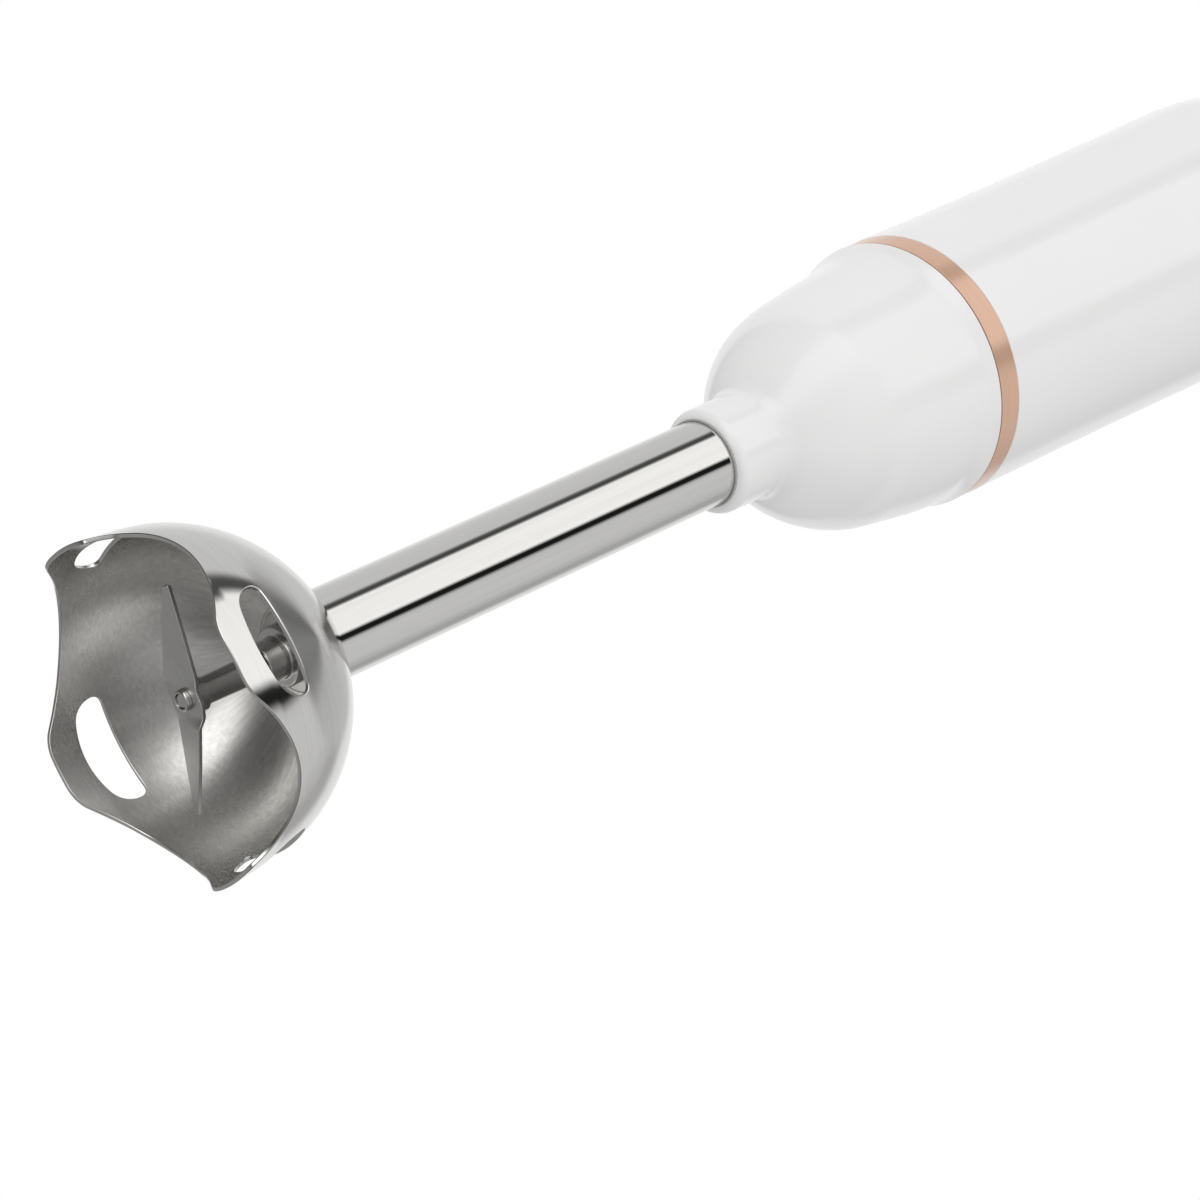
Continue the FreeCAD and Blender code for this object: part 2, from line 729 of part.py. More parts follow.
SLOPE = "(shoulder_run / shoulder_radius)"
LEVEL = f"sqrt(1 - {SLOPE}^2)"
KNEE_RADIUS = f"(shoulder_start - shoulder_radius * (1 - {LEVEL}))"
KNEE_HEIGHT = "(shoulder_low + shoulder_run)"
GRIP_RADIUS = f"({KNEE_RADIUS} - neck_radius * (1 - {LEVEL}))"
NECK_TOP = f"({KNEE_HEIGHT} + neck_radius * {SLOPE})"
GRIP_BORE = f"({GRIP_RADIUS} - handle_wall)"


def make_barrel():
    wall = "handle_wall"
    body = turning("BarrelBody", [
        ("ring_bore", "barrel_low"), ("barrel_radius - barrel_edge", "barrel_low", "barrel_edge", "left"),
        ("barrel_radius", "barrel_low + barrel_edge"), ("barrel_lower_radius", "barrel_lower"),
        ("barrel_upper_radius", "barrel_upper"),
        ("shoulder_start", "shoulder_low", "shoulder_radius", "left"),
        (KNEE_RADIUS, KNEE_HEIGHT, "neck_radius", "right"), (GRIP_RADIUS, NECK_TOP),
        (GRIP_BORE, NECK_TOP, f"neck_radius + {wall}", "left"),
        (f"{KNEE_RADIUS} - {wall} * {LEVEL}", f"{KNEE_HEIGHT} - {wall} * {SLOPE}",
         f"shoulder_radius - {wall}", "right"),
        (f"shoulder_start - {wall}", "shoulder_low"), (f"barrel_upper_radius - {wall}", "barrel_upper"),
        ("ring_bore", "barrel_lower"),
    ])
    frame = stadium("release_half", "release_height - release_rise",
                    "release_height + release_rise", "release_corner")
    opening = slab("ReleaseOpening", "XZ_Plane", frame, "-release_face - 5", "-release_back + 3")
    node("barrel_housing", cut("Barrel", body, opening))


def panel_window(name, gap):
    """The upright stadium in the front of the grip, shrunk by a gap, as a cutter along Y."""
    half = f"panel_half - {gap}"
    frame = stadium(half, f"panel_low + {gap}", f"panel_top - {gap}", f"({half} - 0.01)")
    return slab(name, "XZ_Plane", frame, "cutter_front", "cutter_back")


def make_grip():
    low = f"{NECK_TOP} + 0.1"
    shell = turning("GripShell", [
        (GRIP_BORE, low), (GRIP_RADIUS, low), (GRIP_RADIUS, "grip_top"), (GRIP_BORE, "grip_top"),
        (GRIP_BORE, f"{low} + 2 * lip_length"),
        (f"{GRIP_BORE} - lip_wall", f"{low} + lip_length"),
        (f"{GRIP_BORE} - lip_wall", f"{low} - lip_length"), (f"{GRIP_BORE} - 0.15", f"{low} - lip_length"),
        (f"{GRIP_BORE} - 0.15", low),
    ])
    node("grip_housing", cut("Grip", shell, panel_window("PanelOpening", "0")))
    skin = ring("BezelSkin", f"{GRIP_BORE} + 0.05", f"{GRIP_RADIUS} + panel_proud",
                "panel_low - 1", "panel_top + 1")
    plate = common("BezelPlate", skin, panel_window("BezelWindow", "panel_gap"))
    holes = [cross_rod(name, "button_radius + slide_gap", "-cutter_back", "-cutter_front", place)
             for name, place in (("PowerHole", "power_height"), ("TurboHole", "turbo_height"))]
    node("button_bezel", cut("Bezel", plate, *holes))


def gland_rod(name, radius, start, end):
    """A rod along the slanted cord exit, measured from the centre of the cap's rounded edge."""
    thing = doc.addObject("Part::Cylinder", name)
    thing.Placement = FreeCAD.Placement(Vector(), Rotation(Vector(0, 0, 1), Vector(0, 0.6, 0.8)))
    bind(thing, {"Radius": radius, "Height": f"({end}) - ({start})",
                 "Placement.Base.y": f"cap_flat + 0.6 * ({start})",
                 "Placement.Base.z": f"cap_turn + 0.8 * ({start})"})
    return thing


def make_cap():
    low = "grip_top + 0.1"
    edge = "cap_top - cap_turn"
    wall = "handle_wall"
    reach = f"cap_flat + {edge}"
    shell = turning("CapShell", [
        (f"{reach} - {wall}", low), (reach, low), (reach, "cap_turn", edge, "left"),
        ("cap_flat", "cap_top"), ("dial_stem + 1.5", "cap_top"), ("dial_stem + 1.5", f"cap_top - {wall}"),
        ("cap_flat", f"cap_top - {wall}", f"{edge} - {wall}", "right"),
        (f"{reach} - {wall}", "cap_turn"), (f"{reach} - {wall} - lip_wall", "cap_turn"),
        (f"{reach} - {wall} - lip_wall", f"{low} - lip_length + 2"),
        (f"{GRIP_BORE} - 0.15", f"{low} - lip_length + 2"), (f"{GRIP_BORE} - 0.15", low),
    ])
    exit_hole = gland_rod("CordHole", "gland_radius + fit_gap", "0", "gland_end + 5")
    node("top_cap", cut("Cap", shell, exit_hole))
    tube = gland_rod("GlandBody", "gland_radius", "gland_start", "gland_end")
    bore = gland_rod("GlandBore", "cord_radius", "gland_start - 1", "gland_end + 1")
    node("cord_inlet", cut("Gland", tube, bore))
    node("dial_ring", ring("DialRing", "dial_ring_bore", "dial_ring_radius", "cap_top + fit_gap",
                           "dial_ring_top"))


# ---- controls ------------------------------------------------------------------------------

def make_button(label, height):
    """A round front button with its flange, plunger and switch."""
    name = label.title()
    face = cross_rod(name + "Face", "button_radius", "-button_face", "-flange_back", height)
    eased = rounded(name + "Eased", face, "button_edge",
                    lambda edge: edge.BoundBox.YMax < -value("button_face") + 0.01)
    flange = cross_rod(name + "Flange", "button_flange", "-flange_front", "-flange_back", height)
    node(f"{label}_button", fuse(name + "Button", eased, flange))
    node(f"{label}_plunger", cross_rod(name + "Plunger", "plunger_radius",
                                       "-flange_back + fit_gap", "-plunger_end", height))
    case = block(name + "Case", ("-switch_half", "switch_half"), ("-switch_front", "-board_front - fit_gap"),
                 (f"{height} - switch_half", f"{height} + switch_half"))
    pocket = cross_rod(name + "Pocket", "plunger_radius + slide_gap", "-switch_front - 1",
                       "-switch_pocket", height)
    node(f"{label}_switch", cut(name + "Switch", case, pocket))


def make_controls():
    make_button("power", "power_height")
    make_button("turbo", "turbo_height")
    node("circuit_board", block("Board", ("-board_half", "board_half"), ("-board_front", "-board_back"),
                                ("board_low", "board_top")))
    node("suppressor_capacitor", block("Capacitor", ("-capacitor_half", "capacitor_half"),
                                       ("-board_back + fit_gap", "capacitor_depth"),
                                       ("capacitor_low", "capacitor_top")))
    knob = turning("Knob", [
        ("0", "dial_low"), ("dial_radius", "dial_low"), ("dial_radius", "dial_top - dial_edge",
                                                         "dial_edge", "left"),
        ("dial_radius - dial_edge", "dial_top"), ("0", "dial_top"),
    ])
    groove = rod("KnobGroove", "groove_radius", "dial_low - 1", "dial_top + 1",
                 x="dial_radius + groove_radius / 2")
    grooves = ring_of("KnobGrooves", groove, 30)
    node("speed_dial", cut("Dial", knob, grooves))
    node("dial_shaft", rod("DialShaft", "dial_stem", "stem_low", "dial_low - fit_gap"))
    node("speed_potentiometer", ring("Potentiometer", "dial_stem + 0.2", "potentiometer_radius",
                                     "stem_low + 1", "cap_top - handle_wall - fit_gap"))


# ---- motor ---------------------------------------------------------------------------------

def make_brackets():
    notch = block("LatchNotch", ("-notch_half", "notch_half"), ("notch_inner", "rubber_radius + 1"),
                  ("bracket_low - 1", "bracket_top + 1"))
    seat = "bearing_radius + fit_gap"
    plate = turning("LowerPlate", [
        (seat, "bracket_low"), ("bracket_radius", "bracket_low"), ("bracket_radius", "bracket_top"),
        ("bearing_radius + 2.5", "bracket_top"), ("bearing_radius + 2.5", "bracket_boss"),
        (seat, "bracket_boss"),
    ])
    hole = rod("BracketHole", "screw_radius + fit_gap", "bracket_low - 1", "bracket_top + 1",
               x="screw_circle")
    holes = ring_of("BracketHoles", hole, 4, 45)
    vent = rod("Vent", "vent_radius", "bracket_low - 1", "bracket_top + 1", x="vent_circle")
    vents = ring_of("Vents", vent, 6, 0)
    node("motor_bracket_lower", cut("LowerBracket", plate, notch, holes, vents))
    rubber = ring("LowerRubberRing", "bracket_radius + fit_gap", "rubber_radius", "bracket_low",
                  "bracket_top")
    node("rubber_mount_lower", cut("LowerRubber", rubber, notch))
    for label, low in (("motor_bearing_lower", "bracket_low + 0.1"),
                       ("motor_bearing_upper", "upper_bracket_low + 0.1")):
        node(label, ring(label.title().replace("_", ""), "axle_radius + running_gap", "bearing_radius",
                         low, f"{low} + bearing_height"))
    top = turning("UpperPlate", [
        (seat, "upper_bracket_low"), ("upper_bracket_radius", "upper_bracket_low"),
        ("upper_bracket_radius", "upper_bracket_top"), ("bearing_radius + 2.5", "upper_bracket_top"),
        ("bearing_radius + 2.5", "upper_bracket_boss"), (seat, "upper_bracket_boss"),
    ])
    legs = [block(name, x, ("-holder_half", "holder_half"),
                  ("brush_height + holder_half + fit_gap", "upper_bracket_low + 1"))
            for name, x in (("LegRight", ("leg_inner", "leg_outer")),
                            ("LegLeft", ("-leg_outer", "-leg_inner")))]
    upper_vent = rod("UpperVent", "upper_vent_radius", "upper_bracket_low - 1", "upper_bracket_top + 1",
                     y="upper_vent_circle")
    upper_vents = ring_of("UpperVents", upper_vent, 2)
    node("motor_bracket_upper", cut("UpperBracket", fuse("LeggedPlate", top, *legs), upper_vents))
    node("rubber_mount_upper", ring("UpperRubber", "upper_bracket_radius + fit_gap",
                                    "upper_rubber_radius", "upper_bracket_low", "upper_bracket_top"))


def make_stator():
    outer = common("StackOuter",
                   block("StackBlock", ("-stack_half_x", "stack_half_x"),
                         ("-stack_half_y", "stack_half_y"), ("stack_low", "stack_top")),
                   rod("StackRound", "stack_round", "stack_low", "stack_top"))
    bore = rod("StackBore", "stack_bore", "stack_low - 1", "stack_top + 1")
    slots = []
    coils = []
    for side, near, far in (("Front", "-coil_far", "-coil_near"), ("Back", "coil_near", "coil_far")):
        for hand, low, high in (("Left", "-coil_half", "-coil_inner"), ("Right", "coil_inner", "coil_half")):
            slots.append(block(f"Slot{side}{hand}", (f"{low} - slide_gap", f"{high} + slide_gap"),
                               (f"{near} - slide_gap", f"{far} + slide_gap"),
                               ("stack_low - 1", "stack_top + 1")))
        solid = block(f"Coil{side}", ("-coil_half", "coil_half"), (near, far),
                      ("stack_low - coil_over", "stack_top + coil_over"))
        middle = block(f"Coil{side}Middle", ("-coil_inner", "coil_inner"), (f"{near} - 1", f"{far} + 1"),
                       ("stack_low - coil_over + coil_thick", "stack_top + coil_over - coil_thick"))
        coils.append(cut(f"Coil{side}Ring", solid, middle))
    node("stator_core", cut("Stator", outer, bore, *slots))
    node("field_coils", group("Coils", *coils))


def make_brushes():
    holders = []
    brushes = []
    springs = []
    for side, sign in (("Right", 1), ("Left", -1)):
        def span(start, end, sign=sign):
            return (start, end) if sign > 0 else (f"-({end})", f"-({start})")
        shell = block(f"Holder{side}", span("holder_start", "holder_end"), ("-holder_half", "holder_half"),
                      ("brush_height - holder_half", "brush_height + holder_half"))
        way = block(f"Way{side}", span("holder_start - 1", "holder_end - 0.8"),
                    ("-brush_half - 0.1", "brush_half + 0.1"),
                    ("brush_height - brush_half - 0.1", "brush_height + brush_half + 0.1"))
        holders.append(cut(f"BrushHolder{side}", shell, way))
        brushes.append(block(f"Brush{side}", span("brush_tip", "brush_back"),
                             ("-brush_half", "brush_half"),
                             ("brush_height - brush_half", "brush_height + brush_half")))
        springs.append(coil_spring(f"BrushSpring{side}", sign))
    node("brush_holders", group("Holders", *holders))
    node("carbon_brushes", group("Brushes", *brushes))
    node("brush_springs", group("Springs", *springs))


def coil_spring(name, sign):
    """A wire spring along X between a brush and the closed end of its holder."""
    wire = 0.25
    mean = 1.7
    start = value("brush_back") + wire + 0.05
    length = value("holder_end") - 0.8 - start - wire - 0.05
    path = Part.makeHelix(length / 6.0, length, mean)
    rim = Part.Wire([Part.makeCircle(wire, Vector(mean, 0, 0), Vector(0, 1, 0))])
    coil = Part.Wire(path).makePipeShell([rim], True, True)
    thing = doc.addObject("Part::Feature", name)
    thing.Shape = coil
    turn = Rotation(Vector(0, 0, 1), Vector(sign, 0, 0))
    thing.Placement = FreeCAD.Placement(Vector(sign * start, 0, value("brush_height")), turn)
    return thing


def make_rotor():
    bore = "axle_radius + fit_gap"
    node("motor_shaft", rod("Axle", "axle_radius", "axle_low", "axle_top"))
    stack = ring("RotorStack", bore, "rotor_radius", "stack_low", "stack_top")
    slot = rod("RotorSlot", "armature_slot_radius", "stack_low - 1", "stack_top + 1",
               x="rotor_radius - armature_slot_depth")
    node("armature_core", cut("Armature", stack, ring_of("RotorSlots", slot, 12)))
    node("armature_winding", group(
        "Winding",
        ring("HeadLow", bore, "head_radius", "stack_low - head_height", "stack_low - fit_gap"),
        ring("HeadTop", bore, "head_radius", "stack_top + fit_gap", "stack_top + head_height")))
    drum = ring("Drum", bore, "commutator_radius", "commutator_low", "commutator_top")
    gap = block("BarGap", ("commutator_radius - 1", "commutator_radius + 1"),
                ("-bar_gap_half", "bar_gap_half"),
                ("commutator_low + 2", "commutator_top + 1"))
    node("commutator", cut("Commutator", drum, ring_of("BarGaps", gap, 12, 15)))
    disc = turning("FanDisc", [
        (bore, "fan_low"), ("fan_radius", "fan_low"), ("fan_radius", "fan_disc"), ("fan_hub", "fan_disc"),
        ("fan_hub", "fan_top"), (bore, "fan_top"),
    ])
    vane = block("Vane", ("fan_hub - 1", "fan_radius - 0.5"), ("-vane_half", "vane_half"),
                 ("fan_disc - 0.5", "fan_top"))
    node("cooling_fan", fuse("Fan", disc, ring_of("Vanes", vane, 9)))


# ---- build, check and write ----------------------------------------------------------------

make_guard()
make_tube()
make_blade_shaft()
make_dome()
make_coupling()
make_spigot()
make_latch()
make_barrel()
make_grip()
make_cap()
make_controls()
make_brackets()
make_stator()
make_brushes()
make_rotor()
doc.recompute()

for thing in doc.Objects:
    if "Invalid" in thing.State or "Error" in thing.State:
        raise RuntimeError(f"{thing.Label} failed: {thing.State}")

os.makedirs("parts", exist_ok=True)
for thing in NODES:
    if thing.Shape.isNull() or not thing.Shape.isValid() or thing.Shape.Volume <= 0:
        raise RuntimeError(f"{thing.Label} has no valid shape")
    thing.Shape.exportStep(os.path.join("parts", thing.Label + ".step"))
    print(f"{thing.Label}: {len(thing.Shape.Solids)} solid, {thing.Shape.Volume:.1f} mm3")
print(f"{len(NODES)} nodes")
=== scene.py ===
import json
import math

import bpy
import numpy
from mathutils import Matrix, Vector
from mathutils.geometry import delaunay_2d_cdt
from mathutils.kdtree import KDTree

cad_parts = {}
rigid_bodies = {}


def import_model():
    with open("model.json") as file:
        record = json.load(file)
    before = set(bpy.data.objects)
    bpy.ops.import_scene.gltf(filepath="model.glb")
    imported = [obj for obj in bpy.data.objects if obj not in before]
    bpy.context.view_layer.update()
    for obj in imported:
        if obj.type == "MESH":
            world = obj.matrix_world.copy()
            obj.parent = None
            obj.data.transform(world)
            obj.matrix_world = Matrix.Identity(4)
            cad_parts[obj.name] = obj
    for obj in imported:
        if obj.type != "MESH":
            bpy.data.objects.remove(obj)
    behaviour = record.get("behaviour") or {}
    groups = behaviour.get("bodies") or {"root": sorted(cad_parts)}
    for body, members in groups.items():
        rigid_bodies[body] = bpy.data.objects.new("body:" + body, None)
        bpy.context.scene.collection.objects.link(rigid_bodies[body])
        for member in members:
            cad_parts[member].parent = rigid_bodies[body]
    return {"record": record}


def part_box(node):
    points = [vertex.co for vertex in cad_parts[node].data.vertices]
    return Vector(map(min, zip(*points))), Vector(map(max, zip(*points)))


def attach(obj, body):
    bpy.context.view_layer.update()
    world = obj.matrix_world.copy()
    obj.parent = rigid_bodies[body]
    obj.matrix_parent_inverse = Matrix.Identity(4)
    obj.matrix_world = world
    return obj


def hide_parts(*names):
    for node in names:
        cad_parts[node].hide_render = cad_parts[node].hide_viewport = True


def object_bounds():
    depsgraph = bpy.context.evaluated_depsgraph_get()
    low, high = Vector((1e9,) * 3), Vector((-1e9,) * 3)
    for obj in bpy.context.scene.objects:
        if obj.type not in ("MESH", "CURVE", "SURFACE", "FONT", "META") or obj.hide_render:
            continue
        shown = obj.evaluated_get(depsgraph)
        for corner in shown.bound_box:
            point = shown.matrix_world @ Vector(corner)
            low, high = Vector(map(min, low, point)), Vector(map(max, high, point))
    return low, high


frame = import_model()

# Immersion blender in metres, in the frame of the CAD: +Z up the axis, the lobes of the blade
# guard on z = 0, the buttons facing -Y.

CAD_BOX = [list(corner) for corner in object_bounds()]
MM = 0.001
FULL_TURN = 2 * math.pi


# ---- outlines ------------------------------------------------------------------------------

def arc(centre, radius, start, end, steps):
    """Points on an arc about a centre, from a start to an end angle in degrees."""
    angles = [math.radians(start + (end - start) * step / steps) for step in range(steps + 1)]
    return [(centre[0] + radius * math.cos(a), centre[1] + radius * math.sin(a)) for a in angles]


def eased(corners, steps=6):
    """A closed outline whose corners (x, y, rounding) are rounded; a plain (x, y) stays sharp."""
    points = []
    for index, corner in enumerate(corners):
        here = Vector(corner[:2])
        rounding = corner[2] if len(corner) > 2 else 0.0
        if rounding == 0.0:
            points.append(tuple(here))
            continue
        back = (Vector(corners[index - 1][:2]) - here).normalized()
        ahead = (Vector(corners[(index + 1) % len(corners)][:2]) - here).normalized()
        half = math.acos(max(-1.0, min(1.0, back.dot(ahead)))) / 2
        centre = here + (back + ahead).normalized() * rounding / math.sin(half)
        first = here + back * rounding / math.tan(half) - centre
        last = here + ahead * rounding / math.tan(half) - centre
        start = math.atan2(first.y, first.x)
        swing = math.remainder(math.atan2(last.y, last.x) - start, FULL_TURN)
        for step in range(steps + 1):
            angle = start + swing * step / steps
            points.append((centre.x + rounding * math.cos(angle), centre.y + rounding * math.sin(angle)))
    return points


def divided(points, spacing, closed=True):
    """The same outline with its long edges divided, so that no edge is longer than the spacing."""
    result = []
    count = len(points) if closed else len(points) - 1
    for index in range(count):
        here, there = Vector(points[index]), Vector(points[(index + 1) % len(points)])
        parts = max(1, math.ceil((there - here).length / spacing))
        result += [tuple(here.lerp(there, part / parts)) for part in range(parts)]
    if not closed:
        result.append(tuple(points[-1]))
    return result


def outward(line, closed):
    """The unit side directions of a line that keeps its material on its left."""
    sides = []
    last = len(line) - 1
    for index, here in enumerate(line):
        before = Vector(line[index - 1] if closed or index > 0 else here)
        after = Vector(line[(index + 1) % len(line)] if closed or index < last else here)
        along = (after - before).normalized()
        sides.append(Vector((along.y, -along.x)))
    return sides


def inset(line, distance, closed=True):
    """The line moved sideways into its material."""
    return [tuple(Vector(point) - side * distance) for point, side in zip(line, outward(line, closed))]


def inside(points, loop):
    """Which of the points are inside a closed loop, as a row of true and false."""
    x, y = numpy.array(points, dtype=float).reshape(-1, 2).T
    found = numpy.zeros(len(x), dtype=bool)
    for index, (x1, y1) in enumerate(loop):
        x0, y0 = loop[index - 1]
        if y0 != y1:
            found ^= ((y0 > y) != (y1 > y)) & (x < (x1 - x0) * (y - y0) / (y1 - y0) + x0)
    return found


def in_sheet(points, outer, holes):
    """Which of the points are inside the outer loop and outside the holes."""
    found = inside(points, outer)
    for hole in holes:
        found &= ~inside(points, hole)
    return found


# ---- mesh builders -------------------------------------------------------------------------

ON_AXIS = 1e-6
ROW_STEP = 0.87  # height of a row of near-equilateral triangles, as a share of their side
EDGE_GAP = 0.6  # no inner point comes nearer to an outline than this share of the spacing


def add_piece(name, mesh_parts, body, nodes, slot, *materials):
    """A piece from (points, normals, faces, face materials), riding on a body in place of nodes."""
    points, normals, faces, marks = mesh_parts
    mesh = bpy.data.meshes.new(name)
    mesh.from_pydata([Vector(point) * MM for point in points], [], faces)
    for paint in materials:
        mesh.materials.append(paint)
    mesh.polygons.foreach_set("material_index", marks)
    mesh.shade_smooth()
    mesh.normals_split_custom_set_from_vertices(normals)
    piece = bpy.data.objects.new(name, mesh)
    bpy.context.scene.collection.objects.link(piece)
    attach(piece, body)
    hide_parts(*nodes)
    return piece


def turned(outline, segments=192, lean=None):
    """A closed outline of (radius, height) points, listed counterclockwise, turned about the axis.

    The lean moves the ring of each outline point sideways, towards +X.
    """
    count = len(outline)
    lean = lean or [0.0] * count
    sides = []
    for index in range(count):
        here = Vector(outline[index])
        to_here = here - Vector(outline[index - 1])
        from_here = Vector(outline[(index + 1) % count]) - here
        along = to_here * to_here.length + from_here * from_here.length
        sides.append(Vector((along.y, -along.x)).normalized())
    points, normals, faces, first = [], [], [], []
    for index, ((radius, height), side) in enumerate(zip(outline, sides)):
        first.append(len(points))
        on_axis = radius < ON_AXIS
        rise = outline[(index + 1) % count][1] - outline[index - 1][1]
        drift = (lean[(index + 1) % count] - lean[index - 1]) / rise if abs(rise) > 0.01 else 0.0
        for step in range(1 if on_axis else segments):
            angle = FULL_TURN * step / segments
            points.append((radius * math.cos(angle) + lean[index], radius * math.sin(angle), height))
            flat = 0.0 if on_axis else side.x
            upright = math.copysign(1.0, side.y) if on_axis else side.y - flat * drift * math.cos(angle)
            normals.append((flat * math.cos(angle), flat * math.sin(angle), upright))
    for index in range(count):
        low, high = index, (index + 1) % count
        low_point, high_point = outline[low][0] < ON_AXIS, outline[high][0] < ON_AXIS
        if low_point and high_point:
            continue
        for step in range(segments):
            after = (step + 1) % segments
            low_ring = [first[low]] if low_point else [first[low] + step, first[low] + after]
            high_ring = [first[high]] if high_point else [first[high] + after, first[high] + step]
            faces.append(tuple(low_ring + high_ring))
    return points, normals, faces, [0] * len(faces)


def around_axis(profile, wall, low, high, facing, loops, spacing, rounding):
    """A turned sheet with openings; the profile gives a radius and a slope for each height.

    The loops are clockwise (sideways, height) outlines, seen from outside at the facing azimuth.
    """
    middle = profile(0.5 * (low + high))[0]

    def place(across, up, depth):
        radius, slope = profile(up)
        level = 1.0 / math.sqrt(1.0 + slope * slope)
        azimuth = math.radians(facing) + across / middle
        reach = radius - depth * level
        return reach * math.cos(azimuth), reach * math.sin(azimuth), up + depth * slope * level

    half = math.pi * middle
    steps = 180
    bottom = [(-half + 2 * half * step / steps, low + rounding) for step in range(steps + 1)]
    top = [(x, high - rounding) for x, _ in reversed(bottom)]
    rows = max(1, round((high - low) / spacing))
    rise = (high - low - 2 * rounding) / rows
    side = [(half, low + rounding + rise * row) for row in range(1, rows)]
    other = [(-x, y) for x, y in reversed(side)]
    holes = [inset(loop, rounding) for loop in loops]
    return shell(place, wall, bottom + side + top + other, holes,
                 [(bottom, False), (top, False), *[(hole, True) for hole in holes]], spacing, rounding)


def stadium(half, low, high, rounding, spacing=0.8):
    """An upright rounded rectangle, clockwise: material round it lies on its left."""
    corners = [(-half, low, rounding), (-half, high, rounding), (half, high, rounding), (half, low, rounding)]
    return divided(eased(corners, 14), spacing)


def shell(place, wall, outer, holes, edges, spacing, rounding, turns=(0.0,)):
    """A sheet of even thickness on a curved surface.

    place(across, up, depth) gives a point; outer and holes are loops in (across, up). Each of the
    edges is (line, closed): it gets a rounded edge. The sheet is repeated at the given turns.
    """
    loops = [outer, *holes]
    flat = [Vector(point) for loop in loops for point in loop]
    edge_pairs = []
    for loop in loops:
        start = len(edge_pairs)
        edge_pairs += [(start + i, start + (i + 1) % len(loop)) for i in range(len(loop))]
    tree = KDTree(len(flat))
    for index, point in enumerate(flat):
        tree.insert((point.x, point.y, 0.0), index)
    tree.balance()
    low = Vector((min(p.x for p in flat), min(p.y for p in flat)))
    high = Vector((max(p.x for p in flat), max(p.y for p in flat)))
    rows = int((high.y - low.y) / (spacing * ROW_STEP))
    columns = int((high.x - low.x) / spacing) + 1
    grid = [(low.x + (column + 0.5 * (row % 2)) * spacing, low.y + row * spacing * ROW_STEP)
            for row in range(1, rows + 1) for column in range(columns + 1)]
    for (x, y), found in zip(grid, in_sheet(grid, outer, holes)):
        if found and tree.find((x, y, 0.0))[2] > EDGE_GAP * spacing:
            flat.append(Vector((x, y)))
    cells = delaunay_2d_cdt(flat, edge_pairs, [], 1, 1e-6, False)
    flat, triangles = cells[0], cells[2]
    middles = [sum((flat[i] for i in triangle), Vector((0.0, 0.0))) / 3 for triangle in triangles]
    kept = [tuple(triangle) for triangle, found in zip(triangles, in_sheet(middles, outer, holes)) if found]

    points, normals, faces, marks, known = [], [], [], [], {}

    def vertex(across, up, depth, lean, side, turn):
        """Index of a point whose normal leans from the sheet's own towards a side direction."""
        here = Vector(place(across, up, depth))
        step = 0.01
        east = Vector(place(across + step, up, depth)) - Vector(place(across - step, up, depth))
        north = Vector(place(across, up + step, depth)) - Vector(place(across, up - step, depth))
        facing = east.cross(north).normalized()
        normal = facing * math.cos(lean)
        if side is not None:
            normal = normal + (east * side.x + north * side.y).normalized() * math.sin(lean)
        here = turn @ here
        key = tuple(round(c, 5) for c in here)
        if key not in known:
            known[key] = len(points)
            points.append(here)
            normals.append(turn @ normal.normalized())
        return known[key]

    steps = 5
    leans = [math.pi / 2 * step / steps for step in range(steps + 1)]
    profile = [(rounding * math.sin(lean), rounding * (1 - math.cos(lean)), lean) for lean in leans]
    profile += [(out, wall - depth, math.pi - lean) for out, depth, lean in reversed(profile)]
    for degrees in turns:
        turn = Matrix.Rotation(math.radians(degrees), 3, "Z")
        front = [vertex(*point, 0.0, 0.0, None, turn) for point in flat]
        back = [vertex(*point, wall, math.pi, None, turn) for point in flat]
        for triangle in kept:
            faces.append(tuple(front[i] for i in triangle))
            marks.append(0)
            faces.append(tuple(back[i] for i in reversed(triangle)))
            marks.append(1)
        for line, closed in edges:
            sides = outward(line, closed)
            grid = []
            for (across, up), side in zip(line, sides):
                grid.append([vertex(across + side.x * out, up + side.y * out, depth, lean, side, turn)
                             for out, depth, lean in profile])
            count = len(line) if closed else len(line) - 1
            for index in range(count):
                here, there = grid[index], grid[(index + 1) % len(line)]
                for low_side in range(len(profile) - 1):
                    faces.append((here[low_side], here[low_side + 1], there[low_side + 1], there[low_side]))
                    marks.append(0)
    return points, normals, faces, marks


# ---- materials -----------------------------------------------------------------------------

